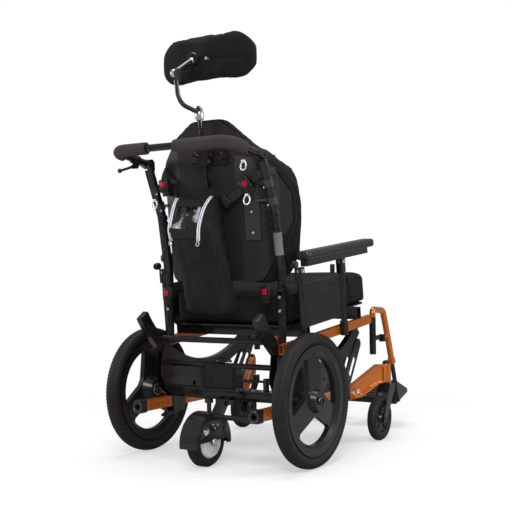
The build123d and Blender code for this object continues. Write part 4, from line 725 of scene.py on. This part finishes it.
def patch(obj, corners, across, upward, lift, ripple=0.0):
    """A thin sewn panel that follows a piece's rear face between four (x, z) corners, in mm."""
    low_left, low_right, high_right, high_left = (Vector(corner) for corner in corners)
    places = []
    for row in range(upward + 1):
        left = low_left.lerp(high_left, row / upward)
        right = low_right.lerp(high_right, row / upward)
        places += [tuple(left.lerp(right, column / across)) for column in range(across + 1)]
    points = on_face(obj, places, lift)
    if len(points) != len(places):
        raise RuntimeError("a sewn panel runs off its piece")
    wide = across + 1
    for index, point in enumerate(points):
        row, column = divmod(index, wide)
        if 0 < row < upward and 0 < column < across:
            point.y += ripple * sin(column * 1.9 + row * 1.1) * cos(row * 1.7 - column * 0.6)
    corner = [row * wide + column for row in range(upward) for column in range(across)]
    mesh = bpy.data.meshes.new("panel")
    mesh.from_pydata(points, [], [(k, k + 1, k + 1 + wide, k + wide) for k in corner])
    panel = modify(new_object("panel", mesh), "SOLIDIFY", thickness=0.0012, offset=0.0)
    face_outward(panel)
    return smooth(panel, 60)


# ---------------------------------------------------------------- operators
class WHEELCHAIR_OT_finishes(bpy.types.Operator):
    """Build the shader groups and every finish"""
    bl_idname = "wheelchair.finishes"
    bl_label = "Finishes"

    def execute(self, context):
        grain_group()
        weave_group()
        tread_group()
        for *row, more in FINISHES:
            make_material(*row, **more)
        for node, cuts, depth, shoulder in TYRES:
            low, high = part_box(node)
            make_material(node + "_rubber", ("rubber", 1), ("rubber", 1.7), (0.50, 0.70), TREAD,
                          cuts, 0.5, depth, centre=(low + high) / 2, shoulder=shoulder)
        return {"FINISHED"}


class WHEELCHAIR_OT_frame_finish(bpy.types.Operator):
    """Paint and mould the frame's own parts"""
    bl_idname = "wheelchair.frame_finish"
    bl_label = "Frame finish"

    def execute(self, context):
        finish = {kind: name for name, kinds in NODE_FINISH.items() for kind in kinds.split()}
        finish.update({node: node + "_rubber" for node, *_ in TYRES})
        for node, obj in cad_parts.items():
            kind = node.removesuffix("_left").removesuffix("_right")
            name = finish.get(node) or finish.get(kind)
            if name:
                for place in obj.material_slots:
                    place.material = MATERIALS[name]
            elif kind not in SOFT_NODES.split():
                raise RuntimeError("no finish for " + node)
        return {"FINISHED"}


def power(value, exponent):
    """A power that keeps its sign."""
    return abs(value) ** exponent * (1 if value >= 0 else -1)


# A rear tyre in millimetres: how far it stands from the chair's middle, its radius, half width,
# half height, and its bead's radius and half width. Then the number of points round its section.
TRACK, OUTER, WIDE, TALL, BEAD, BEAD_WIDE, TURNS = 311.0, 203.0, 23.0, 18.5, 166.3, 13.0, 26

# The lugs on each shoulder: their number and lean, and in metres their size and how far they
# stand from the tyre's middle plane and from the hub.
LUGS, LUG_LEAN = 112, (0.86, 0.51)
LUG_SIZE, LUG_ASIDE, LUG_OUT = (0.0055, 0.012, 0.0030), 0.0204, 0.1930

# Turned rings of the hub: piece, finish, profile, place out from the chair's middle, way faced.
HUB_RINGS = (
    ("rings", "bright_metal", (
        (((14.6, -1), (14.6, 2.4), (15.6, 3.2), (18.6, 3.2), (19.6, 2.4), (19.6, -1)), 282, -1),
        (((13.4, -1), (13.4, 1.6), (14.2, 2), (14.2, -1)), 282, -1))),
    ("seal", "moulded_black", (
        (((20.4, -1), (20.4, 2.0), (21.4, 2.8), (27, 2.8), (28.5, 1.4), (28.5, -1)), 282, -1),
        (((8, 0), (12, 0), (12, 2), (10.5, 3), (8, 3)), 345, 1))),
)


class WHEELCHAIR_OT_rear_tyres(bpy.types.Operator):
    """Round the rear tyres, set the lugs along their shoulders and fit the hubs' rings"""
    bl_idname = "wheelchair.rear_tyres"
    bl_label = "Rear tyres"

    def execute(self, context):
        section = [(BEAD, -BEAD_WIDE), (BEAD, BEAD_WIDE)]
        for k in range(TURNS + 1):
            angle = radians(-50 + 280 * k / TURNS)
            section.append((OUTER - TALL * (1 - power(sin(angle), 0.9)),
                            WIDE * power(cos(angle), 0.8)))
        for name, side in SIDES:
            hub = behind(0, OUTER, side * TRACK)
            finish, body = f"rear_tyre_{name}_rubber", f"drive_wheel_{name}"
            tyre = lathe(section, hub, (1, 0, 0), steps=132, closed=True)
            dress(tyre, f"rear_tyre_rubber_{name}", finish, body)
            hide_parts(f"rear_tyre_{name}")
            dress(self.lugs(hub), f"rear_tyre_lugs_{name}", finish, body)
            for label, metal, rings in HUB_RINGS:
                piece = join([lathe(profile, behind(0, OUTER, side * x), (side * way, 0, 0))
                              for profile, x, way in rings])
                dress(piece, f"hub_{label}_{name}", metal, body)
        return {"FINISHED"}

    def lugs(self, hub):
        """The lugs of both shoulders of a tyre, the two rows half a pitch apart."""
        turns = []
        for shoulder in (-1, 1):
            for k in range(LUGS):
                angle = 2 * pi * (k + 0.25 * shoulder) / LUGS
                out = Vector((0, sin(angle), cos(angle)))
                along = Vector((0, cos(angle), -sin(angle)))
                up = (Vector((shoulder * LUG_LEAN[0], 0, 0)) + out * LUG_LEAN[1]).normalized()
                place = hub + Vector((shoulder * LUG_ASIDE, 0, 0)) + out * LUG_OUT
                turns.append(Matrix.Translation(place) @ axes(along, up.cross(along), up))
        return copies(slab((0, 0, 0), LUG_SIZE, bevel=0.0007, segments=1), turns)


class WHEELCHAIR_OT_seat_cushion(bpy.types.Operator):
    """Fill the seat cushion's cover and sew its piping, bolsters and channels"""
    bl_idname = "wheelchair.seat_cushion"
    bl_label = "Seat cushion"

    def execute(self, context):
        pad = padded_cover("seat_cushion", inset=0.003, pressure=4.0, cap=sizes().swell,
                           voxel=sizes().voxel, smoothing=8)

        def top(normal):
            return normal.dot(SEAT_UP) > 0.4

        def sides(normal):
            return abs(normal.x) > 0.5

        press_seams(pad, [(seam(on_seat(300, 159), SEAT_ALONG, top), 0.006, 0.005),
                          (seam(on_seat(505, 159), SEAT_ALONG, top), 0.008, 0.007),
                          (seam(on_seat(505, 0), SEAT_ALONG, sides), 0.008, 0.008)])
        # The whole seat cover takes the lighter cloth, light from above painted into its colour.
        dress_cover(pad, "seat_cushion", "seat_cover", "top_cloth", "seat")
        for name, up in (("upper", 146), ("lower", 72)):
            run = tube(cushion_ring(pad, up), sizes().piping / 2, closed=True)
            dress(run, f"seat_piping_{name}", "cover_cloth", "seat")
        return {"FINISHED"}


def cushion_ring(pad, up, count=72, far=0.8):
    """Points round the seat cushion's side at a height above the rails, on its cover."""
    centre = on_seat(362, up)
    places = []
    for k in range(count):
        angle = 2 * pi * k / count
        direction = Vector((cos(angle), 0, 0)) + SEAT_ALONG * sin(angle)
        hit, place, normal, _ = pad.ray_cast(centre + direction * far, -direction)
        if hit:
            places.append(place + normal * 0.001)
    return places


# The right edge of the back cushion upward, as (x, z) in millimetres, x turned positive.
BACK_OUTLINE = (
    (190, 556), (222, 640), (234, 700), (249, 745), (249, 830), (214, 912),
    (136, 1004), (62, 1066),
)


class WHEELCHAIR_OT_back_cushion(bpy.types.Operator):
    """Fill the back cushion's cover and sew piping along both of its rims"""
    bl_idname = "wheelchair.back_cushion"
    bl_label = "Back cushion"

    def execute(self, context):
        pad = padded_cover("back_cushion", inset=0.003, pressure=3.0, cap=sizes().swell * 0.8,
                           voxel=sizes().voxel)
        middle = behind(22, 552) + SEAT_UP * 0.210
        # The solid's corners give way to a smooth curve, but near its top and bottom edges.
        curve = cornered([(0, 548), *BACK_OUTLINE, (0, 1068)])
        for vertex in pad.data.vertices:
            z = vertex.co.z * 1000
            if 600 < z < 1062:
                vertex.co.x *= (half_width(curve, z) + 2) / half_width(BACK_OUTLINE, z)
        across = seam(middle, SEAT_UP, lambda normal: normal.y < -0.3)
        press_seams(pad, [(across, 0.007, 0.005)])
        dress_cover(pad, "back_cushion", "back_cover", "cover_cloth", "back")
        rim = mirrored([self.inward(x, z) for x, z in curve if x > 1])
        for name, face in (("front", FRONT_FACE), ("rear", REAR_FACE)):
            line = evened(on_face(pad, divided(rim, closed=True), 0.0008, face))
            run = tube(line, sizes().piping / 2, closed=True)
            dress(run, f"back_piping_{name}", "webbing", "back")
        return {"FINISHED"}

    def inward(self, x, z):
        """A point of the outline drawn in to the rim, more so at the top and bottom."""
        return x - 11 * min(1, x / 80), z - max(0, (z - 900) * 0.07) + max(0, (640 - z) * 0.16)


# Runs over the bag's rear face, as (x, z) in millimetres.
ZIPS = {
    "left": ((90, 829), (99, 812), (97, 782), (89, 740), (81, 688)),
    "right": ((-40, 829), (-31, 812), (-25, 786), (-27, 750), (-30, 684)),
}
BAG_EDGES = {
    "right": ((-51, 800), (-62, 722), (-74, 610), (-86, 505), (-88, 480)),
    "left": ((108, 800), (94, 722), (74, 610), (56, 505), (50, 480)),
}

# Panels of the bag: finish, the corners' (x, z) in millimetres, lift and ripple in metres.
BAG_PANELS = {
    # The window's finish paints reflections on it.
    "window": ("clear_window", ((79, 727), (-20, 718), (-15, 792), (86, 796)), 0.0012, 0.0016),
    "band": ("bag_panel", ((76, 694), (-21, 690), (-20, 717), (79, 726)), 0.0020, 0.0),
    "flap": ("bag_cloth", ((87, 793), (-16, 789), (-22, 808), (87, 811)), 0.0026, 0.0),
}


class WHEELCHAIR_OT_backpack(bpy.types.Operator):
    """Fill the backpack, press in its folds, and sew on its flap, window, zips and edges"""
    bl_idname = "wheelchair.backpack"
    bl_label = "Backpack"

    def execute(self, context):
        bag = padded_cover("backpack", inset=0.004, pressure=3.5, cap=0.012, voxel=0.006)

        def rear(normal):
            return normal.y > 0.3

        def sides(normal):
            return abs(normal.x) > 0.6

        # The line under the flap, the gusset's, two folds that lean and one that hangs.
        press_seams(bag, [
            (seam(behind(0, 694, -10), Vector((0, 0, 1)), rear), 0.004, 0.004),
            (seam(behind(100, 0), Vector((0, 1, 0)), sides), 0.004, 0.003),
            (seam(behind(0, 560, -10), Vector((-0.35, 0, 1)), rear), 0.016, 0.004),
            (seam(behind(0, 505, -10), Vector((0.3, 0, 1)), rear), 0.014, 0.003),
            (seam(behind(150, 600, 20), Vector((1, 0, -0.18)), rear), 0.012, 0.003)])
        dress_cover(bag, "backpack", "backpack_cover", "bag_cloth", "back")
        for name, run in BAG_EDGES.items():
            edge = tube(on_face(bag, divided(run, 10), 0.0006), 0.0016)
            dress(edge, f"bag_edge_{name}", "webbing", "back")
        for name, (material, corners, lift, ripple) in BAG_PANELS.items():
            dress(patch(bag, corners, 14, 6, lift, ripple), f"bag_{name}", material, "back")
        for name, run in ZIPS.items():
            line, cord = (evened(on_face(bag, divided(run, 9), lift)) for lift in (0.0022, 0.0030))
            band = flat_strap(line, 0.0125, 0.0016, (1, 0, 0))
            dress(band, f"zip_tape_{name}", "reflective_trim", "back")
            dress(tube(cord, 0.0008), f"zip_teeth_{name}", "webbing", "back")
            end = cord[-1]
            pull = join([
                slab(end + Vector((0, 0.0015, 0.001)), (0.009, 0.005, 0.010)),
                ring(end + Vector((0, 0.003, -0.009)), (0, 1, 0), 0.0055, 0.0015),
            ])
            dress(pull, f"zip_pull_{name}", "bright_metal", "back")
        return {"FINISHED"}


# Half height of the headrest's solid at distances from its middle, in millimetres. Then its
# cover's middle height, half height, and the radius of its ends and of its upper left corner.
WING_END = ((74, 120), (71, 140), (67, 150), (59, 160), (48, 170), (35, 177))
PAD_MIDDLE, PAD_HALF, END_RADIUS, UPPER_LEFT_RADIUS = 1252, 74, 72, 112


class WHEELCHAIR_OT_headrest(bpy.types.Operator):
    """Fill the headrest's cover, sew its seam, and turn the joints that carry it"""
    bl_idname = "wheelchair.headrest"
    bl_label = "Headrest"

    def execute(self, context):
        pad = padded_cover("headrest_pad", inset=0.0025, pressure=3.5, cap=0.010, voxel=0.005,
                           smoothing=12)
        for vertex in pad.data.vertices:
            self.round_end(vertex)
        modify(pad, "SMOOTH", factor=0.5, iterations=6)

        def pleat(place, normal):
            return place.z - 1.240 if normal.y > 0.2 and place.x < -0.012 else None

        press_seams(pad, [(pleat, 0.004, 0.0045)])
        dress_cover(pad, "headrest_pad", "headrest_cover", "cover_cloth", "headrest_pad")
        low, high = behind(240, 1184, 6), behind(142, 1243, 6)
        along = high - low
        reach = along.length * 1000
        rear = (0, 1, 0)
        turned("link_sleeve", "black_coat", "headrest_link",
               [rounded(9.6, 17, reach - 24), rounded(11.5, 13, 19)], low, along, "black_metal")
        turned("link_balls", "bright_metal", "headrest_link",
               [ball(13.0, 0), ball(9.5, reach - 12)], low, along)
        turned("pad_knob", "moulded_black", "headrest_pad",
               [[(8.5, -14), (8.5, 9), (11, 12), (16.5, 12), (19, 9), (19, -14)]], high, rear)
        turned("pad_stud", "bright_metal", "headrest_pad", [rounded(4.5, 0, 14, 0.8)],
               behind(126, 1240, -36), rear)
        turned("arm_foot_cap", "bright_metal", "headrest_arm",
               [[(7.4, -16), (12.6, -12), (14.0, -2), (13.2, 10), (9.5, 18), (0, 20)]],
               behind(125, 1071), behind(125, 1064) - behind(91, 851))
        return {"FINISHED"}

    def round_end(self, vertex):
        """Draw a point near a wing's end toward the middle height, so that the end is round."""
        x, y, z = (vertex.co - Vector((0, AXLE.y, 0))) * 1000
        # How far the point lies inside its wing's end, a line that leans rearward.
        inside = 136 - 0.92 * abs(x) + 0.39 * y
        radius = UPPER_LEFT_RADIUS if x > 0 and z > PAD_MIDDLE else END_RADIUS
        if inside < radius:
            bow = max(0.0, 1 - (1 - max(inside, 0.0) / radius) ** 2) ** 0.5
            share = min(1.0, PAD_HALF * bow / half_width(WING_END, abs(x)))
            vertex.co.z = (PAD_MIDDLE + (z - PAD_MIDDLE) * max(share, 0.1)) / 1000


class WHEELCHAIR_OT_arm_pads(bpy.types.Operator):
    """Crown the arm pads, and fit the posts' collars, the end caps and the levers"""
    bl_idname = "wheelchair.arm_pads"
    bl_label = "Arm pads"

    def execute(self, context):
        for name, side in SIDES:
            body = f"armrest_{name}"
            pad = softened(f"arm_pad_{name}", 0.004, 8)
            dress_cover(pad, f"arm_pad_{name}", f"arm_pad_skin_{name}", "arm_skin", body)
            posts = [on_seat(along, 236, side * 263.2) for along in (105, 370)]
            collars = join([lathe(rounded(14.2, -16, -5), post, SEAT_UP) for post in posts])
            dress(collars, f"post_collars_{name}", "bright_metal", body)
            cap = lathe([(0, 12), (8, 11), (11, 7), (11.6, 0), (11.6, -8), (0, -8)],
                        on_seat(72, 248, side * 263), -SEAT_ALONG)
            lever = slab(on_seat(332, 206, side * 251), (0.008, 0.022, 0.030), bevel=0.003)
            dress(join([cap, lever]), f"armrest_fittings_{name}", "moulded_black", body)
            starts = [on_seat(along, up, side * 420) for along in (122, 322) for up in (68, 164)]
            screws = landed_bolts(f"side_guard_{name}", starts, (-side, 0, 0), 0.0042, 0.0024,
                                  0.0004)
            dress(screws, f"guard_screws_{name}", "black_coat", body)
        return {"FINISHED"}


class WHEELCHAIR_OT_grips(bpy.types.Operator):
    """Shape the foam grips of the push bar"""
    bl_idname = "wheelchair.grips"
    bl_label = "Foam grips"

    def execute(self, context):
        dress_cover(softened("foam_grips", 0.0035, 6), "foam_grips", "foam_sleeves", "foam_grip",
                    "push_bar")
        return {"FINISHED"}


# Buckles of the harness: centre (x, y behind the axle, z) in millimetres, turn in degrees, body.
BUCKLES = {
    "upper_right": ((-152, 103, 852), 42, "back"),
    "upper_left": ((158, 103, 866), 12, "back"),
    "lap_right": ((-172, 32, 527), 6, "seat"),
    "lap_left": ((205, 34, 520), 4, "seat"),
}

# Straps of the harness: (x, y behind the axle, z) in millimetres.
STRAPS = {
    "slider_strap": ((-138, 103, 838), (-112, 101, 822), (-84, 98, 806), (-62, 94, 796)),
    "shoulder_strap_right": ((-168, 98, 866), (-186, 84, 882), (-203, 58, 893), (-214, 30, 896)),
    "shoulder_strap_left": ((158, 98, 884), (160, 92, 898), (166, 78, 912), (176, 58, 922)),
}


class WHEELCHAIR_OT_harness(bpy.types.Operator):
    """Mould the harness buckles and run their straps, slider and rings"""
    bl_idname = "wheelchair.harness"
    bl_label = "Harness"

    def execute(self, context):
        for name, ((x, y, z), degrees, body) in BUCKLES.items():
            centre, turn = behind(y, z, x), radians(degrees)
            way = {"up": Vector((sin(turn), 0, cos(turn))),
                   "along": Vector((cos(turn), 0, -sin(turn)))}
            case = join([
                slab(centre, (0.034, 0.014, 0.042), bevel=0.004, **way),
                slab(centre - way["up"] * 0.026, (0.024, 0.006, 0.016), bevel=0.002, **way),
            ])
            dress(case, f"buckle_{name}", "moulded_black", body)
            button = slab(centre + Vector((0, 0.0062, 0.002)), (0.017, 0.006, 0.017),
                          bevel=0.0018, **way)
            dress(button, f"buckle_button_{name}", "release_button", body)
        for name, run in STRAPS.items():
            points = [behind(y, z, x) for x, y, z in run]
            dress(flat_strap(points, 0.026, 0.0018, (0.5, 0, 0.9)), name, "webbing", "back")
        slider = slab(behind(100, 804, -76), (0.034, 0.009, 0.026), along=(1, 0, 0.7),
                      up=(-0.7, 0, 1), bevel=0.003)
        dress(slider, "strap_slider", "moulded_black", "back")
        for name, (x, y, z), radius in (
            ("upper", (-150, 112, 908), 0.0125), ("right", (-156, 104, 806), 0.0135),
            ("left", (198, 104, 806), 0.0135),
        ):
            centre = behind(y, z, x)
            top = centre + Vector((0, 0, radius + 0.002))
            hoop = join([ring(centre, (0.25, 1, 0.1), radius, 0.0021),
                         lathe(rounded(4.2, -6, 6), top, (1, 0, 0))])
            dress(hoop, f"pull_ring_{name}", "silver_disc", "back")
        return {"FINISHED"}


# Bolt heads: name, the part they sit on and its body, each with its side's name after it where
# there is one of it on each side, radius and height in millimetres, finish, the direction they are
# looked for along, and where from as (x, y, z).
BOLTS = (
    ("arm_bolts", "caster_arms", "base", 7.5, 4.5, "bright_metal", (-1, 0, 0),
     ((300, -416, 171), (300, -446, 173))),
    ("bracket_screws", "shell_brackets", "back", 4.0, 2.2, "bright_metal", (0, -1, 0),
     ((150, 300, 708), (150, 300, 772), (205, 300, 790), (205, 300, 842))),
    ("socket_screws", "post_sockets", "seat", 4.6, 2.6, "bright_metal", (0, -1, 0),
     ((215, 300, 470), (215, 300, 512))),
    ("footplate_screws", "footplate_{0}", "footplate_{0}", 4.5, 2.0, "bright_metal",
     (0, 0, -1), ((100, -770, 400), (160, -770, 400))),
)

# Turned pieces on both sides: name, finish, profile and place (x, y, z) in millimetres, direction.
SIDE_CAPS = (
    ("stem_cap", "moulded_black", ((0, 9), (7, 8.5), (12, 5.5), (13.5, 0), (13.5, -2), (0, -2)),
     (282, -575, 261), (0, 0, 1)),
    ("rail_bush", "bronze_metal",
     ((13.2, 0.6), (14.6, 2.2), (17.4, 2.2), (18.6, 0.8), (18.6, -2), (13.2, -2)),
     (218, 177, 170), (0, 1, 0)),
)


class WHEELCHAIR_OT_fasteners(bpy.types.Operator):
    """Seat the bolt heads, the caps and the small turned fittings"""
    bl_idname = "wheelchair.fasteners"
    bl_label = "Fasteners"

    def execute(self, context):
        for name, node, body, radius, height, material, (across, along, up), places in BOLTS:
            for label, side in SIDES:
                starts = [behind(y, z, side * x) for x, y, z in places]
                heads = landed_bolts(node.format(label), starts, (across * side, along, up),
                                     radius / 1000, height / 1000, 0.0003)
                dress(heads, f"{name}_{label}", material, body.format(label))
        slope = radians(57)  # the rockers' rear ends
        up = Vector((0, cos(slope), sin(slope)))
        for label, side in SIDES:
            for name, material, profile, (x, y, z), direction in SIDE_CAPS:
                turned(f"{name}_{label}", material, "base", [profile], behind(y, z, side * x),
                       direction)
            plug = slab(behind(147.5, 455, side * 218) + up * 0.001, (0.0194, 0.0394, 0.005),
                        up=up, bevel=0.0022)
            dress(plug, f"rocker_plug_{label}", "arm_skin", "seat")
        corners = ((-104, 850), (-192, 850), (-158, 936), (-104, 946))
        panel = patch(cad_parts["back_shell"], corners, 10, 6, 0.0014)
        dress(panel, "shell_panel", "bracket_grey", "back")
        nuts = join([lathe(rounded(6.2, -2, 8, 1.0), behind(120, z, x), (0, 1, 0), steps=6)
                     for x, z in ((-38, 949), (-34, 928), (24, 949))])
        dress(nuts, "clamp_nuts", "dark_chrome", "back")
        dome = lathe([(0, 32), (10, 31), (20, 27), (28, 20), (33, 10), (34, 0), (0, 0)])
        flatten = Matrix.Diagonal((1, 0.36, 0.5, 1))
        dome.data.transform(Matrix.Translation(behind(0, 304.5, 12)) @ flatten)
        dress(dome, "lock_dome", "moulded_black", "base")
        turned("cane_sleeve", "label_film", "back", [rounded(13.6, 0, 70, 0.6, 12.7)],
               *cane_stretch(-215, 640))
        for name, side in SIDES:
            collars = join([lathe(rounded(15.0, 0, 15, 1.5, 12.7), *cane_stretch(side * 215, z))
                            for z in (718, 739, 760)])
            dress(collars, f"cane_collars_{name}", "moulded_black", "back")
        return {"FINISHED"}


def cane_stretch(x, z):
    """A place on a cane's straight lower part at a height, and the direction it runs up."""
    low, high = behind(8, 590, x), behind(40, 770, x)
    return low.lerp(high, (z - 590) / 180), high - low


# The assist wheel's middle from the chair's, and its axle behind the rear one and above the
# floor, in millimetres.
ASSIST_X, ASSIST_Y, ASSIST_Z = -12, 132, 76


class WHEELCHAIR_OT_assist_trim(bpy.types.Operator):
    """Fit the assist wheel's side covers, nuts and screws, and the fender's cheeks"""
    bl_idname = "wheelchair.assist_trim"
    bl_label = "Assist wheel trim"

    def execute(self, context):
        for name, side in SIDES:
            def out(distance, y=ASSIST_Y, z=ASSIST_Z):
                return behind(y, z, ASSIST_X + side * distance)

            turned(f"assist_cover_{name}", "silver_disc", "assist_wheel",
                   [[(12, 0), (13, 1.6), (34, 2.4), (43, 1.2), (46, -1), (12, -1)]],
                   out(25), (side, 0, 0), steps=48)
            turned(f"assist_nut_{name}", "bright_metal", "assist_arm",
                   [[(0, 9), (5.2, 9), (6, 8), (6, 3), (10.5, 3), (11, 2), (11, 0), (0, 0)]],
                   out(32.5), (side, 0, 0), steps=24)
            dress(self.cheek(out(30.4)), f"fender_cheek_{name}", "satin_black", "assist_arm")
            heads = [facing(out(32.2, y, z), (side, 0, 0))
                     for y, z in ((138, 129), (115, 127), (128, 118))]
            screws = copies(bolt(0.0036, 0.0022), heads)
            dress(screws, f"fender_screws_{name}", "bright_metal", "assist_arm")
        return {"FINISHED"}

    def cheek(self, centre):
        """A half round side wall over the axle with an oval window, centred on the axle's line."""
        across = (0, pi / 2, 0)
        wall = cylinder(72, 0.0885, 0.0036, centre, rotation=across)
        with editing(wall):
            bpy.ops.mesh.bisect(plane_co=centre + Vector((0, 0, 0.004)), plane_no=(0, 0, 1),
                                use_fill=True, clear_inner=True)
        hole = cylinder(40, 0.0125, 0.02, centre + Vector((0, 0.036, 0.037)), rotation=across,
                        scale=(1, 1.3, 1))
        modify(wall, "BOOLEAN", object=hole, operation="DIFFERENCE")
        bpy.data.objects.remove(hole)
        return smooth(ease(wall, 0.0009))


# The camera: its place in metres, its three turns in radians, and its focal length in pixels of a
# picture that is VIEW_WIDTH wide.
VIEW_PLACE = Vector((-1.7743, 2.8353, 0.6172))
VIEW_YAW, VIEW_PITCH, VIEW_ROLL = 0.577, -0.007, -0.014
VIEW_FOCAL, VIEW_WIDTH, SENSOR = 977.7, 512, 36

# Square lamps: place and side in metres, power in watts. They face LAMP_TARGET.
LAMPS = {
    "key": ((-1.6, 3.0, 2.6), 1.3, 80.0),
    "top": ((0.1, 0.2, 3.4), 2.0, 70.0),
    "side": ((2.8, 1.6, 1.4), 1.0, 28.0),
    "edge": ((-3.0, -1.0, 1.5), 1.2, 46.0),
}
LAMP_TARGET = Vector((0, AXLE.y - 0.25, 0.6))
WHITE = (1, 1, 1, 1)


def show(tree, output, seen_share, hidden, seen):
    """Mix what rays meet with what the camera sees, and give the result to the tree's output."""
    mix = add_node(tree, "MixShader", {0: seen_share, 1: hidden.outputs[0], 2: seen.outputs[0]})
    wire(tree, tree.nodes[output], {"Surface": mix.outputs[0]})


def rays(tree):
    """Two outputs: 1 for rays from the camera, straight or through glass, and for glossy ones."""
    path = add_node(tree, "LightPath", {}).outputs
    straight = math_node(tree, "MAXIMUM", path["Is Camera Ray"], path["Is Transmission Ray"])
    return straight, path["Is Glossy Ray"]


class WHEELCHAIR_OT_stage(bpy.types.Operator):
    """Set the floor, the soft lights, the world and the camera"""
    bl_idname = "wheelchair.stage"
    bl_label = "Stage"

    def execute(self, context):
        context.scene.view_settings.view_transform = "Standard"
        self.floor()
        self.world(context.scene)
        for name, (place, size, energy) in LAMPS.items():
            lamp = bpy.data.lights.new(name, "AREA")
            lamp.shape = "SQUARE"
            lamp.size = size
            lamp.energy = energy
            holder = new_object(name, lamp)
            holder.location = place
            toward = LAMP_TARGET - holder.location
            holder.rotation_euler = toward.to_track_quat("-Z", "Y").to_euler()
        self.camera(context.scene)
        return {"FINISHED"}

    def floor(self):
        """A white floor with soft shadows, which fades into the white world away from the chair."""
        deselect()
        bpy.ops.mesh.primitive_plane_add(size=60, location=(0, AXLE.y, 0))
        floor = settle(active())
        floor.name = "floor"
        material = bpy.data.materials.new("pale_floor")
        material.use_nodes = True
        tree = material.node_tree
        straight, glossy = rays(tree)
        dimmed = math_node(tree, "SUBTRACT", 0.93, math_node(tree, "MULTIPLY", glossy, 0.55))
        shader = wire(tree, tree.nodes["Principled BSDF"], {
            "Base Color": dimmed, "Roughness": 0.75, "Specular IOR Level": 0.2})
        place = add_node(tree, "TexCoord", {}).outputs["Object"]
        distance = add_node(tree, "VectorMath", {0: place})
        distance.operation = "LENGTH"
        fade = add_node(tree, "MapRange", {"Value": distance.outputs["Value"], "From Min": 0.35,
                                           "From Max": 1.7, "To Min": 0.5})
        fade.interpolation_type = "SMOOTHSTEP"
        share = math_node(tree, "MULTIPLY", fade.outputs["Result"], straight)
        show(tree, "Material Output", share, shader, add_node(tree, "Emission", {"Color": WHITE}))
        floor.data.materials.append(material)

    def world(self, scene):
        """A white world to the camera that lights the chair only faintly."""
        scene.world = bpy.data.worlds.new("studio")
        scene.world.use_nodes = True
        tree = scene.world.node_tree
        light = wire(tree, tree.nodes["Background"], {"Color": WHITE, "Strength": 0.24})
        seen = add_node(tree, "Background", {"Color": WHITE, "Strength": 1.0})
        straight, glossy = rays(tree)
        share = math_node(tree, "MAXIMUM", straight, math_node(tree, "MULTIPLY", glossy, 0.10))
        show(tree, "World Output", share, light, seen)

    def camera(self, scene):
        """The photo's camera."""
        camera = bpy.data.cameras.new("camera")
        camera.sensor_width = SENSOR
        camera.sensor_fit = "HORIZONTAL"
        camera.lens = VIEW_FOCAL * SENSOR / VIEW_WIDTH
        camera.clip_end = 200
        look = Vector((sin(VIEW_YAW) * cos(VIEW_PITCH), -cos(VIEW_YAW) * cos(VIEW_PITCH),
                       -sin(VIEW_PITCH)))
        right = Vector((-cos(VIEW_YAW), -sin(VIEW_YAW), 0))
        up = right.cross(look)
        turn = axes(right * cos(VIEW_ROLL) + up * sin(VIEW_ROLL),
                    up * cos(VIEW_ROLL) - right * sin(VIEW_ROLL), -look)
        scene.camera = new_object("camera", camera)
        scene.camera.matrix_world = Matrix.Translation(VIEW_PLACE) @ turn


OPERATORS = (
    WHEELCHAIR_OT_finishes,
    WHEELCHAIR_OT_stage,
    WHEELCHAIR_OT_frame_finish,
    WHEELCHAIR_OT_rear_tyres,
    WHEELCHAIR_OT_seat_cushion,
    WHEELCHAIR_OT_back_cushion,
    WHEELCHAIR_OT_backpack,
    WHEELCHAIR_OT_headrest,
    WHEELCHAIR_OT_arm_pads,
    WHEELCHAIR_OT_grips,
    WHEELCHAIR_OT_harness,
    WHEELCHAIR_OT_fasteners,
    WHEELCHAIR_OT_assist_trim,
)


class WHEELCHAIR_PT_sidebar(bpy.types.Panel):
    """Lists the wheelchair's pieces, sizes and colours"""
    bl_idname = "WHEELCHAIR_PT_sidebar"
    bl_label = "Tilting wheelchair"
    bl_space_type = "VIEW_3D"
    bl_region_type = "UI"
    bl_category = "Wheelchair"

    def draw(self, context):
        column = self.layout.column()
        for operator in OPERATORS:
            column.operator(operator.bl_idname)
        for group in (context.scene.wheelchair_sizes, context.scene.wheelchair_colours):
            for name in group.bl_rna.properties.keys():
                if name not in ("rna_type", "name"):
                    column.prop(group, name)


CLASSES = (WheelchairColours, WheelchairSizes, *OPERATORS, WHEELCHAIR_PT_sidebar)


def register():
    for item in CLASSES:
        bpy.utils.register_class(item)
    bpy.types.Scene.wheelchair_colours = bpy.props.PointerProperty(type=WheelchairColours)
    bpy.types.Scene.wheelchair_sizes = bpy.props.PointerProperty(type=WheelchairSizes)


def unregister():
    del bpy.types.Scene.wheelchair_sizes
    del bpy.types.Scene.wheelchair_colours
    for item in reversed(CLASSES):
        bpy.utils.unregister_class(item)


def main():
    register()
    for operator in OPERATORS:
        group, name = operator.bl_idname.split(".")
        getattr(getattr(bpy.ops, group), name)()


if __name__ == "__main__":
    main()
